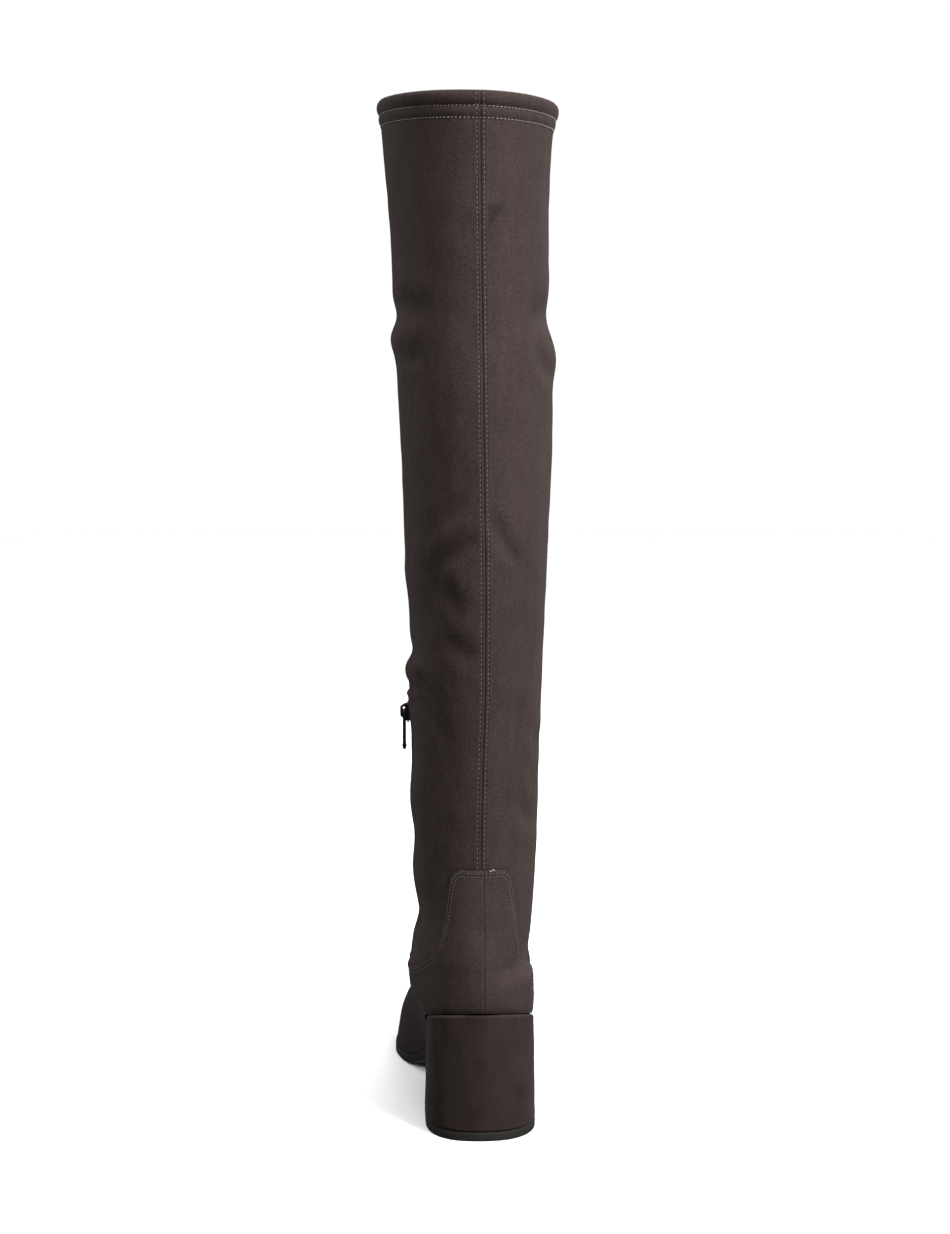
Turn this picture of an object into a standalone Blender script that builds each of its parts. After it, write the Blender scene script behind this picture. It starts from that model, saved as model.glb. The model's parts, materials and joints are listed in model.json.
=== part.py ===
"""Right thigh high boot with a covered block heel and a short zip on the inner side.

Metres, +Z up, +Y towards the toe, +X towards the outer (lateral) side of a right foot.
The origin is on the floor under the middle of the heel.
"""
import math

import bmesh
import bpy
from mathutils import Matrix

# Overall sizes
FOOT_LENGTH = 0.240          # heel back to toe tip, along the last
BALL_WIDTH = 0.084           # last, across the joints
HEEL_WIDTH = 0.0600          # last, across the heel seat
HEEL_BACK = 0.028            # origin to the back of the last
HEEL_HEIGHT = 0.072          # floor to the back of the heel seat
ANKLE_HEIGHT = 0.097         # floor to the ankle, where the leg's sections start
SIDE_SEAM = 0.084            # floor to the seam between foot and shaft, at the sides
COUNTER_HEIGHT = 0.1505      # floor to the top of the counter
INSTEP_HEIGHT = 0.126        # floor to the seam at the front of the ankle
BOOT_HEIGHT = 0.5695         # floor to the back of the collar
COLLAR_RISE = 0.014          # front of the collar above its back
COLLAR_SIDE_FALL = 0.0014    # outer side of the collar below its inner side, each way from the middle
COLLAR_WIDTH = 0.1010        # across the collar
COLLAR_DEPTH = 0.1620        # back to front at the collar

# Walls and clearances
SHAFT_WALL = 0.0018
FOOT_STEP = 0.0007           # the foot's leather stands proud of the shaft
PIECE_GAP = 0.0003           # between pieces that touch

# Sole and heel
SOLE_THICKNESS = 0.0048
SHANK_THICKNESS = 0.0034
SOLE_EDGE = 0.0011           # sole beyond the upper, from the ball on
TOE_SPRING = 0.0080
BALL_START = 0.60            # flat of the forefoot, both as shares of FOOT_LENGTH
BALL_END = 0.80
SEAT_SLOPE = -0.29           # heel seat, rise over run towards the toe
HEEL_DEPTH = 0.055
HEEL_BASE_WIDTH = 0.0622
HEEL_RAKE = 0.0022           # back of the heel block, further back at the seat than on the floor
TOP_PIECE_THICKNESS = 0.0050
TOP_PIECE_ROUND = 0.0006
HEEL_FOOT_ROUND = 0.0004     # edge of the covered heel above the top piece
HEEL_SEAT_ROUND = 0.0008     # edge of the covered heel under the seat
HEEL_CORNER = 0.10           # corner at the breast, as a share of the heel's width
HEEL_BACK_DEPTH = 0.51       # round back, as a share of the heel's width
HEEL_BACK_POWER = 0.83       # 1 is a half ellipse, and less is squarer
INSOLE_THICKNESS = 0.0025

# Zip on the inner side
ZIP_BOTTOM = 0.0880
ZIP_TOP = 0.2392
ZIP_SLOT_WIDTH = 0.0072
ZIP_TAPE_WIDTH = 0.0220
ZIP_TAPE_THICKNESS = 0.0007
ZIP_TAPE_START = 0.002       # tape above the slot's lower end
ZIP_TAPE_END = 0.004         # tape beyond the slot's upper end
ZIP_ROW = 0.010              # height of the strips' faces
CHAIN_WIDTH = 0.0050
CHAIN_THICKNESS = 0.0020
SLIDER_LENGTH = 0.0120
SLIDER_WIDTH = 0.0062
SLIDER_HEIGHT = 0.0032
SLIDER_CORNER = 0.0020
BRIDGE_RADIUS = 0.0024
BRIDGE_HOLE = 0.0013
BRIDGE_WIDTH = 0.0028
PULL_PIN_RADIUS = 0.0006
PULL_LENGTH = 0.0216
PULL_WIDTH = 0.0060
PULL_THICKNESS = 0.0017
PULL_ARM = 0.0010
PULL_EYE = 0.0012            # radius of the round ends of the arms
PULL_NECK = 0.0020           # from the arms' root to the full width
PULL_END_WIDTH = 0.0048      # between the tab's sides at its end
PULL_END_RADIUS = 0.0018
KNOB_RADIUS = 0.00122
KNOB_WIDTH = 0.0042

# Foot sections, one row for each level. Height is a share of ANKLE_HEIGHT, back and front are shares of
# FOOT_LENGTH from the back of the last, shift, ball, toe and both waists are shares of BALL_WIDTH, heel is a
# share of HEEL_WIDTH, and the two end radii are shares of BALL_WIDTH.
FOOT_COLUMNS = ("height", "back", "front", "shift", "back_radius", "heel", "inner_waist", "outer_waist",
                "ball", "toe", "front_radius")
FOOT_SECTIONS = (
    (0.03, 0.008, 0.988, -0.107, 0.32, 0.450, 0.262, 0.357, 0.490, 0.345, 0.25),
    (0.21, 0.004, 0.998, -0.100, 0.32, 0.450, 0.280, 0.369, 0.460, 0.340, 0.26),
    (0.33, 0.002, 0.979, -0.090, 0.32, 0.448, 0.298, 0.369, 0.424, 0.312, 0.28),
    (0.43, 0.000, 0.929, -0.080, 0.32, 0.445, 0.321, 0.366, 0.388, 0.260, 0.28),
    (0.52, -0.002, 0.833, -0.072, 0.32, 0.442, 0.345, 0.368, 0.368, 0.258, 0.26),
    (0.62, -0.004, 0.742, -0.065, 0.32, 0.438, 0.374, 0.368, 0.368, 0.270, 0.24),
    (0.74, -0.008, 0.671, -0.058, 0.32, 0.442, 0.445, 0.366, 0.374, 0.262, 0.23),
    (0.88, -0.010, 0.604, -0.048, 0.27, 0.424, 0.456, 0.348, 0.374, 0.252, 0.21),
)
STATION_SHARES = {"heel": 0.12, "waist": 0.38, "ball": 0.70, "toe": 0.90}
STATIONS = ("back", *STATION_SHARES, "front")

# Leg sections. Height runs from 0 at the ankle seam to 1 at the back of the collar, inner and outer are shares
# of COLLAR_WIDTH, back and front are shares of COLLAR_DEPTH from the origin.
LEG_COLUMNS = ("height", "back", "front", "inner", "outer")
LEG_SECTIONS = (
    (0.000, -0.186, 0.648, 0.370, 0.290),
    (0.025, -0.175, 0.605, 0.348, 0.302),
    (0.050, -0.160, 0.562, 0.338, 0.314),
    (0.112, -0.140, 0.512, 0.360, 0.330),
    (0.235, -0.150, 0.520, 0.370, 0.344),
    (0.358, -0.180, 0.556, 0.382, 0.366),
    (0.493, -0.208, 0.600, 0.410, 0.394),
    (0.641, -0.208, 0.642, 0.440, 0.422),
    (0.759, -0.185, 0.690, 0.470, 0.408),
    (0.853, -0.178, 0.728, 0.486, 0.402),
    (0.959, -0.183, 0.784, 0.524, 0.420),
    (1.000, -0.190, 0.808, 0.540, 0.442),
)

# Folds of the leg. Height as in the leg sections, turn is the share of a half turn from the back seam, plus
# to the outer side and minus to the inner side, depth is out or in as a share of COLLAR_WIDTH, tall is the
# half height as a share of COLLAR_WIDTH, wide the half width as a share of a half turn, and slant the rise
# along that half width as a share of COLLAR_WIDTH.
FOLD_COLUMNS = ("height", "turn", "depth", "tall", "wide", "slant")
FOLDS = (
    (0.758, 0.50, -0.026, 0.11, 0.30, 0.00),
    (0.712, 0.50, 0.026, 0.13, 0.30, 0.00),
    (0.762, -0.50, -0.022, 0.08, 0.26, 0.00),
    (0.733, -0.50, 0.022, 0.08, 0.26, 0.00),
    (0.490, 0.12, -0.012, 0.12, 0.14, -0.25),
    (0.445, -0.20, -0.012, 0.12, 0.16, 0.25),
    (0.455, -0.50, 0.010, 0.10, 0.16, 0.00),
    (0.338, -0.48, 0.020, 0.09, 0.18, 0.00),
    (0.300, -0.50, 0.014, 0.13, 0.18, 0.00),
    (0.310, -0.30, -0.010, 0.10, 0.16, -0.30),
)

# The turned hem. Drop is below the collar's edge and proud is the cloth outside the leg's own surface.
HEM_COLUMNS = ("drop", "proud")
HEM = (
    (0.0240, 0.0000),
    (0.0152, 0.0000),
    (0.0144, 0.0005),
    (0.0114, 0.0007),
    (0.0086, 0.0005),
    (0.0078, 0.0012),
    (0.0036, 0.0016),
    (0.0008, 0.0010),
    (0.0000, 0.0000),
)

# Upper edge of the foot. Turn is the share of a half turn from the back seam, rise is 0 at SIDE_SEAM and 1 at
# COUNTER_HEIGHT behind the ankle, or 1 at INSTEP_HEIGHT in front of it.
EDGE_COLUMNS = ("turn", "rise")
COUNTER_EDGE = ((0.000, 1.00), (0.105, 1.00), (0.150, 0.94), (0.172, 0.82), (0.198, 0.59), (0.222, 0.41),
                (0.255, 0.26), (0.310, 0.15), (0.390, 0.04), (0.470, 0.00))
INSTEP_EDGE = ((0.550, 0.00), (0.680, 0.18), (0.820, 0.60), (0.930, 0.94), (1.000, 1.00))

# How the walls are divided
FOOT_ROWS = 12
FOOT_ROW_POWER = 1.15        # over 1 brings the foot's rows closer at the sole
PATH_STEPS = 60              # steps along which a column's length is measured
BACK_COLUMNS = (0.0637, 0.105, 0.130, 0.152, 0.172, 0.188, 0.205, 0.225, 0.255, 0.300)  # shares of a half turn
FRONT_COLUMNS = 11
COUNTER_ROWS = 6
COUNTER_CLEAR = 0.0095       # level rows of the leg start this far above the counter
ZIP_ROWS = 4                 # level rows beside the zip
LEG_ROW_SHARES = (0.054, 0.115, 0.195, 0.285, 0.385, 0.490, 0.590, 0.660, 0.710, 0.755, 0.805, 0.890,
                  1.0)
SEAM_RIDGE = 0.0005
SEAM_HALF_TURN = 0.017       # half width of the back seam's ridge, as a share of a half turn
SMALL_TURN = 1e-3            # steps for slopes, in radians and in metres
SMALL_RISE = 1e-3
ARC_STEPS = 3                # for a quarter of a small corner
ROUND_STEPS = 20
HEEL_STEPS = 18

# Rings of the covered heel: share of its height, and the rounding that insets it
HEEL_RINGS = ((0.0, HEEL_FOOT_ROUND), (0.012, 0.0), (0.25, 0.0), (0.5, 0.0), (0.75, 0.0), (0.975, 0.0),
              (1.0 - 2 * PIECE_GAP / HEEL_HEIGHT, HEEL_SEAT_ROUND))

# Rims of the outsole: share of SOLE_EDGE beyond the upper, and share of the way from the top to the bottom
SOLE_RIMS = ((0.6, 0.0), (1.0, 0.2), (1.0, 0.75), (0.3, 1.0))

# Materials: name, colour, roughness and metallic value

SUEDE = ("suede", (0.046, 0.036, 0.033), 0.95, 0.0)
RUBBER = ("black_rubber", (0.012, 0.012, 0.011), 0.65, 0.0)
LINING = ("lining", (0.10, 0.085, 0.075), 0.9, 0.0)
TAPE = ("zip_cloth", (0.010, 0.010, 0.010), 0.85, 0.0)
METAL = ("black_metal", (0.03, 0.03, 0.032), 0.35, 1.0)


def named(columns, rows):
    """Rows of numbers as dictionaries keyed by their column names."""
    return [dict(zip(columns, row)) for row in rows]


def smooth(rows, key, value, at):
    """Monotone cubic through the rows' (key, value) pairs."""
    if at <= rows[0][key]:
        return rows[0][value]
    if at >= rows[-1][key]:
        return rows[-1][value]
    index = next(i for i in range(len(rows) - 1) if at <= rows[i + 1][key])
    slopes = [(rows[i + 1][value] - rows[i][value]) / (rows[i + 1][key] - rows[i][key])
              for i in range(len(rows) - 1)]

    def tangent(i):
        if i == 0:
            return slopes[0]
        if i == len(rows) - 1:
            return slopes[-1]
        before, after = slopes[i - 1], slopes[i]
        return 0.0 if before * after <= 0 else 2 * before * after / (before + after)

    span = rows[index + 1][key] - rows[index][key]
    t = (at - rows[index][key]) / span
    return ((1 + 2 * t) * (1 - t) ** 2 * rows[index][value] + t * (1 - t) ** 2 * span * tangent(index)
            + t * t * (3 - 2 * t) * rows[index + 1][value] - t * t * (1 - t) * span * tangent(index + 1))


def level_sections():
    """Foot and leg sections as one list of levels, each with its ends and its fullness along the way.

    A section runs from its back end to its front end. At share s of that run its half width is the fullness
    there times sin(turn), where cos(turn) = 1 - 2 s, so an even fullness is an ellipse.
    """
    levels = []
    for row in named(FOOT_COLUMNS, FOOT_SECTIONS):
        level = {"z": row["height"] * ANKLE_HEIGHT,
                 "back": row["back"] * FOOT_LENGTH - HEEL_BACK,
                 "front": row["front"] * FOOT_LENGTH - HEEL_BACK,
                 "shift": row["shift"] * BALL_WIDTH}
        half_run = (level["front"] - level["back"]) / 2
        widths = {"heel": (row["heel"] * HEEL_WIDTH,) * 2,
                  "waist": (row["inner_waist"] * BALL_WIDTH, row["outer_waist"] * BALL_WIDTH),
                  "ball": (row["ball"] * BALL_WIDTH,) * 2,
                  "toe": (row["toe"] * BALL_WIDTH,) * 2}
        for side, name in enumerate(("inner", "outer")):
            level[name + "_back"] = math.sqrt(row["back_radius"] * BALL_WIDTH * half_run)
            level[name + "_front"] = math.sqrt(row["front_radius"] * BALL_WIDTH * half_run)
            for station, share in STATION_SHARES.items():
                level[name + "_" + station] = widths[station][side] / (2 * math.sqrt(share * (1 - share)))
        levels.append(level)
    for row in named(LEG_COLUMNS, LEG_SECTIONS):
        level = {"z": ANKLE_HEIGHT + row["height"] * (BOOT_HEIGHT - ANKLE_HEIGHT),
                 "back": row["back"] * COLLAR_DEPTH,
                 "front": row["front"] * COLLAR_DEPTH,
                 "shift": 0.0}
        for name in ("inner", "outer"):
            for station in STATIONS:
                level[name + "_" + station] = row[name] * COLLAR_WIDTH
        levels.append(level)
    return levels


LEVELS = level_sections()


def half_turn(turn):
    """Share of a half turn from the back seam, minus on the inner side."""
    return ((turn + math.pi) % (2 * math.pi) - math.pi) / math.pi


def fold_offset(turn, z):
    """Out or in movement of the leg's surface by its folds."""
    share = (z - ANKLE_HEIGHT) / (BOOT_HEIGHT - ANKLE_HEIGHT)
    total = 0.0
    for fold in named(FOLD_COLUMNS, FOLDS):
        across = (half_turn(turn) - fold["turn"]) / fold["wide"]
        rise = (share - fold["height"]) * (BOOT_HEIGHT - ANKLE_HEIGHT) / COLLAR_WIDTH
        along = (rise - fold["slant"] * across) / fold["tall"]
        total += fold["depth"] * COLLAR_WIDTH * math.exp(-across * across - along * along)
    return total


def last_point(turn, z):
    """Point of the boot's own surface at a turn from the back seam (plus to the outer side) and a height."""
    level = {name: smooth(LEVELS, "z", name, z) for name in LEVELS[0] if name != "z"}
    side = "outer" if math.sin(turn) >= 0 else "inner"
    share = (1 - math.cos(turn)) / 2
    stations = [{"share": 0.0, "full": level[side + "_back"]}]
    stations += [{"share": s, "full": level[side + "_" + name]} for name, s in STATION_SHARES.items()]
    stations += [{"share": 1.0, "full": level[side + "_front"]}]
    full = smooth(stations, "share", "full", share) + fold_offset(turn, z)
    y = level["back"] + share * (level["front"] - level["back"])
    return (level["shift"] * share * share + full * math.sin(turn), y, z)


def surface_point(turn, z, proud):
    """Surface point moved out by proud along the surface's normal."""
    here = last_point(turn, z)
    ahead = last_point(turn + SMALL_TURN, z)
    behind = last_point(turn - SMALL_TURN, z)
    above = last_point(turn, z + SMALL_RISE)
    below = last_point(turn, z - SMALL_RISE)
    around = [a - b for a, b in zip(ahead, behind)]
    up = [a - b for a, b in zip(above, below)]
    normal = (around[1] * up[2] - around[2] * up[1],
              around[2] * up[0] - around[0] * up[2],
              around[0] * up[1] - around[1] * up[0])
    size = math.sqrt(sum(value * value for value in normal))
    return tuple(p + proud * n / size for p, n in zip(here, normal))


def sole_top(y):
    """Height of the sole's upper face, which heel seat, upper and insole share."""
    seat_end = HEEL_DEPTH - HEEL_BACK
    ball_start = BALL_START * FOOT_LENGTH - HEEL_BACK
    ball_end = BALL_END * FOOT_LENGTH - HEEL_BACK
    toe = FOOT_LENGTH - HEEL_BACK
    seat = HEEL_HEIGHT + SEAT_SLOPE * (y + HEEL_BACK)
    if y <= seat_end:
        return seat
    if y < ball_start:
        run = ball_start - seat_end
        t = (y - seat_end) / run
        top = HEEL_HEIGHT + SEAT_SLOPE * (seat_end + HEEL_BACK)
        return ((1 + 2 * t) * (1 - t) ** 2 * top + t * (1 - t) ** 2 * run * SEAT_SLOPE
                + t * t * (3 - 2 * t) * SOLE_THICKNESS)
    if y <= ball_end:
        return SOLE_THICKNESS
    return SOLE_THICKNESS + TOE_SPRING * ((y - ball_end) / (toe - ball_end)) ** 2


def waist_ease(y):
    """0 at the heel's breast, 1 from the ball on, and a smooth rise between."""
    seat_end = HEEL_DEPTH - HEEL_BACK
    ball_start = BALL_START * FOOT_LENGTH - HEEL_BACK
    t = min(max((y - seat_end) / (ball_start - seat_end), 0.0), 1.0)
    return t * t * (3 - 2 * t)


def sole_bottom(y):
    """Height of the outsole's lower face."""
    return sole_top(y) - SHANK_THICKNESS - (SOLE_THICKNESS - SHANK_THICKNESS) * waist_ease(y)


def feather_point(turn, lift, proud):
    """Point where the surface at this turn meets the sole's upper face, lifted and moved out."""
    low, high = 0.0, ANKLE_HEIGHT
    for _ in range(30):
        middle = (low + high) / 2
        if middle < sole_top(last_point(turn, middle)[1]):
            low = middle
        else:
            high = middle
    x, y, z = surface_point(turn, high, proud)
    return (x, y, sole_top(y) + lift), high


def edge_height(turn):
    """Height of the seam between foot and shaft."""
    share = abs(half_turn(turn))
    back = named(EDGE_COLUMNS, COUNTER_EDGE)
    front = named(EDGE_COLUMNS, INSTEP_EDGE)
    if share < back[-1]["turn"]:
        return SIDE_SEAM + (COUNTER_HEIGHT - SIDE_SEAM) * smooth(back, "turn", "rise", share)
    return SIDE_SEAM + (INSTEP_HEIGHT - SIDE_SEAM) * smooth(front, "turn", "rise", share)


def collar_height(turn):
    """Height of the collar's edge, which rises from the back to the front and falls to the outer side."""
    return BOOT_HEIGHT + COLLAR_RISE * (1 - math.cos(turn)) / 2 - COLLAR_SIDE_FALL * math.sin(turn)


def zip_turn(width):
    """Turn on either side of the inner side's middle that spans a width there."""
    middle = (ZIP_BOTTOM + ZIP_TOP) / 2
    run = smooth(LEVELS, "z", "front", middle) - smooth(LEVELS, "z", "back", middle)
    return width / run


def breast_turn():
    """Turn of the column that stands on the outsole's end at the heel's breast."""
    low, high = 0.0, math.pi
    while high - low > 1e-6:
        middle = (low + high) / 2
        if feather_point(middle, 0.0, 0.0)[0][1] < HEEL_DEPTH - HEEL_BACK + PIECE_GAP:
            low = middle
        else:
            high = middle
    return low


def column_turns():
    """Turns of the wall's columns, closer along the counter's edge and beside the zip."""
    slot = zip_turn(ZIP_SLOT_WIDTH)
    half = [math.pi * share for share in (SEAM_HALF_TURN, *BACK_COLUMNS)]
    breast = breast_turn()
    half += [(half[-1] + breast) / 2, breast, (breast + math.pi / 2 - slot) / 2]
    half += [math.pi / 2 - slot, math.pi / 2 + slot]
    front = (math.pi / 2 - slot) / FRONT_COLUMNS
    half += [half[-1] + front * i for i in range(1, FRONT_COLUMNS)]
    half = sorted(half)
    return [0.0] + half + [math.pi] + [2 * math.pi - turn for turn in reversed(half)]


def column_index(turns, turn):
    """Index of the column at a turn."""
    return min(range(len(turns)), key=lambda i: abs(turns[i] - turn))


def new_object(name, mesh_maker, paint):
    """Build an object from a bmesh that the maker fills."""
    mesh = bpy.data.meshes.new(name)
    bm = bmesh.new()
    mesh_maker(bm)
    bmesh.ops.recalc_face_normals(bm, faces=bm.faces)
    bm.to_mesh(mesh)
    bm.free()
    mesh.shade_smooth()
    mesh.set_sharp_from_angle(angle=math.radians(40))
    thing = bpy.data.objects.new(name, mesh)
    bpy.context.collection.objects.link(thing)
    mesh.materials.append(material(*paint))
    return thing


def material(name, colour, roughness, metallic):
    """Principled material, made once for each name."""
    found = bpy.data.materials.get(name)
    if found:
        return found
    made = bpy.data.materials.new(name)
    made.use_nodes = True
    shader = made.node_tree.nodes["Principled BSDF"]
    shader.inputs["Base Color"].default_value = (*colour, 1.0)
    shader.inputs["Roughness"].default_value = roughness
    shader.inputs["Metallic"].default_value = metallic
    return made


def wall(bm, outer, inner, closed, holes=()):
    """Thick wall between two grids of points, with its edges and the edges of its holes closed.

    A grid is a list of rows of points. Holes are (first row, last row, first column, last column).
    """
    rows, columns = len(outer), len(outer[0])
    out = [[bm.verts.new(point) for point in row] for row in outer]
    ins = [[bm.verts.new(point) for point in row] for row in inner]
    around = columns if closed else columns - 1

    def solid(i, j):
        if not 0 <= i < rows - 1:
            return False
        if not closed and not 0 <= j < columns - 1:
            return False
        return not any(a <= i < b and c <= j % columns < d for a, b, c, d in holes)

    for i in range(rows - 1):
        for j in range(around):
            k = (j + 1) % columns
            if not solid(i, j):
                continue
            bm.faces.new((out[i][j], out[i][k], out[i + 1][k], out[i + 1][j]))
            bm.faces.new((ins[i][j], ins[i + 1][j], ins[i + 1][k], ins[i][k]))
            if not solid(i - 1, j):
                bm.faces.new((out[i][j], ins[i][j], ins[i][k], out[i][k]))
            if not solid(i + 1, j):
                bm.faces.new((out[i + 1][j], out[i + 1][k], ins[i + 1][k], ins[i + 1][j]))
            if not solid(i, j - 1):
                bm.faces.new((out[i][j], out[i + 1][j], ins[i + 1][j], ins[i][j]))
            if not solid(i, j + 1):
                bm.faces.new((out[i][k], ins[i][k], ins[i + 1][k], out[i + 1][k]))
    unused = [v for v in bm.verts if not v.link_faces]
    bmesh.ops.delete(bm, geom=unused, context="VERTS")


def make_foot_upper():
    """Vamp, quarters and counter: from the sole up to the edge under the shaft."""
    turns = column_turns()
    outer = []
    inner = []
    for row in range(FOOT_ROWS + 1):
        outer.append([])
        inner.append([])
        share = (row / FOOT_ROWS) ** FOOT_ROW_POWER
        for turn in turns:
            _, foot = feather_point(turn, 0.0, 0.0)
            top = edge_height(turn)
            heights = [foot + (top - foot) * i / PATH_STEPS for i in range(PATH_STEPS + 1)]
            points = [last_point(turn, z) for z in heights]
            lengths = [0.0]
            for a, b in zip(points, points[1:]):
                lengths.append(lengths[-1] + math.dist(a, b))
            goal = share * lengths[-1]
            index = max(i for i in range(PATH_STEPS) if lengths[i] <= goal + 1e-12)
            part = (goal - lengths[index]) / (lengths[index + 1] - lengths[index])
            z = heights[index] + part * (heights[index + 1] - heights[index])
            ridge = SEAM_RIDGE if turn == 0.0 else 0.0
            if row == 0:
                outer[-1].append(feather_point(turn, PIECE_GAP, FOOT_STEP)[0])
                inner[-1].append(feather_point(turn, PIECE_GAP, -SHAFT_WALL)[0])
            else:
                outer[-1].append(surface_point(turn, z, FOOT_STEP + ridge / 2))
                inner[-1].append(surface_point(turn, z, -SHAFT_WALL))
    return new_object("foot_upper", lambda bm: wall(bm, outer, inner, True), SUEDE)


def shaft_rows():
    """Rows of the leg, each a function from a turn to a height and how proud its cloth is."""
    level = COUNTER_HEIGHT + COUNTER_CLEAR
    rows = []

    def low_row(share):
        def place(turn):
            here = last_point(turn, edge_height(turn))
            there = last_point(turn + SMALL_TURN, edge_height(turn + SMALL_TURN))
            run = math.hypot(there[0] - here[0], there[1] - here[1])
            slope = abs(there[2] - here[2]) / run
            start = edge_height(turn) + PIECE_GAP * math.sqrt(1 + slope * slope)
            return start + share * (level - start), 0.0
        return place

    def level_row(z):
        return lambda turn: (z, 0.0)

    def hem_row(drop, proud):
        return lambda turn: (collar_height(turn) - drop, proud)

    slot_share = (ZIP_BOTTOM - SIDE_SEAM) / (level - SIDE_SEAM)
    rows += [low_row(0.0)]
    rows += [low_row(slot_share + (1 - slot_share) * i / COUNTER_ROWS) for i in range(COUNTER_ROWS + 1)]
    rows += [level_row(level + (ZIP_TOP - level) * i / ZIP_ROWS) for i in range(1, ZIP_ROWS + 1)]
    zip_row = len(rows) - 1
    last = BOOT_HEIGHT - 2 * HEM[0][0]
    rows += [level_row(ZIP_TOP + (last - ZIP_TOP) * share) for share in LEG_ROW_SHARES]
    rows += [hem_row(row["drop"], row["proud"]) for row in named(HEM_COLUMNS, HEM)]
    return rows, zip_row


def make_shaft():
    """The leg, with its hem, its back seam and the slot for the zip."""
    turns = column_turns()
    rows, zip_row = shaft_rows()
    slot = zip_turn(ZIP_SLOT_WIDTH)
    first = column_index(turns, 1.5 * math.pi - slot)
    last = column_index(turns, 1.5 * math.pi + slot)
    outer = []
    inner = []
    for place in rows:
        outer.append([])
        inner.append([])
        for turn in turns:
            z, proud = place(turn)
            ridge = SEAM_RIDGE if turn == 0.0 else 0.0
            outer[-1].append(surface_point(turn, z, proud + ridge))
            inner[-1].append(surface_point(turn, z, -SHAFT_WALL))
    hole = (1, zip_row, first, last)
    return new_object("shaft", lambda bm: wall(bm, outer, inner, True, (hole,)), SUEDE)


def strip(name, width, low, high, outside, inside, columns, spacing, paint):
    """Strip that follows the inner side's surface between two heights and two depths."""
    rows = max(2, round((high - low) / spacing))
    reach = zip_turn(width)
    outer = []
    inner = []
    for i in range(rows + 1):
        z = low + (high - low) * i / rows
        turns = [1.5 * math.pi + reach * (2 * j / columns - 1) for j in range(columns + 1)]
        outer.append([surface_point(turn, z, outside) for turn in turns])
        inner.append([surface_point(turn, z, inside) for turn in turns])
    return new_object(name, lambda bm: wall(bm, outer, inner, False), paint)


def make_zip_cloth():
    """Tape behind the slot and the closed chain that stands in it, up to the slider."""
    behind = -SHAFT_WALL - 2 * PIECE_GAP
    strip("zip_tape", ZIP_TAPE_WIDTH, ZIP_BOTTOM + ZIP_TAPE_START, ZIP_TOP + ZIP_TAPE_END, behind,
          behind - ZIP_TAPE_THICKNESS, 4, ZIP_ROW, TAPE)
    low = behind + 2 * PIECE_GAP
    strip("zip_chain", CHAIN_WIDTH, ZIP_BOTTOM + 2 * PIECE_GAP, slider_bottom() - PIECE_GAP,
          low + CHAIN_THICKNESS, low, 2, ZIP_ROW, TAPE)


def slider_bottom():
    """Height of the slider's lower end, its upper end just inside the slot's."""
    return ZIP_TOP - 4 * PIECE_GAP - SLIDER_LENGTH


def pull_pivot():
    """Middle of the bridge's eye, which the pull's pin turns in."""
    z = slider_bottom() + SLIDER_LENGTH / 2
    face = surface_point(1.5 * math.pi, z, SLIDER_HEIGHT / 2)
    return (face[0] - BRIDGE_HOLE - PIECE_GAP, face[1], z)


def plate(bm, outline, thickness, axis, centre):
    """Flat plate from an outline of (first, second) pairs, thick along X or Y."""
    sides = []
    for sign in (-0.5, 0.5):
        ring = []
        for a, b in outline:
            depth = sign * thickness
            offset = (depth, a, b) if axis == "X" else (a, depth, b)
            ring.append(bm.verts.new([c + o for c, o in zip(centre, offset)]))
        sides.append(ring)
    count = len(outline)
    bm.faces.new(sides[0])
    bm.faces.new(list(reversed(sides[1])))
    for i in range(count):
        k = (i + 1) % count
        bm.faces.new((sides[0][i], sides[0][k], sides[1][k], sides[1][i]))


def arc(centre, radius, start, end, count):
    """Points of an arc, angles in degrees."""
    angles = [math.radians(start + (end - start) * i / count) for i in range(count + 1)]
    return [(centre[0] + radius * math.cos(a), centre[1] + radius * math.sin(a)) for a in angles]


def union(base, extra):
    """Join a second object into the first with a Boolean and remove it."""
    join = base.modifiers.new("join", "BOOLEAN")
    join.operation = "UNION"
    join.object = extra
    graph = bpy.context.evaluated_depsgraph_get()
    mesh = bpy.data.meshes.new_from_object(base.evaluated_get(graph))
    base.modifiers.clear()
    base.data = mesh
    bpy.data.objects.remove(extra)
    return base


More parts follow.
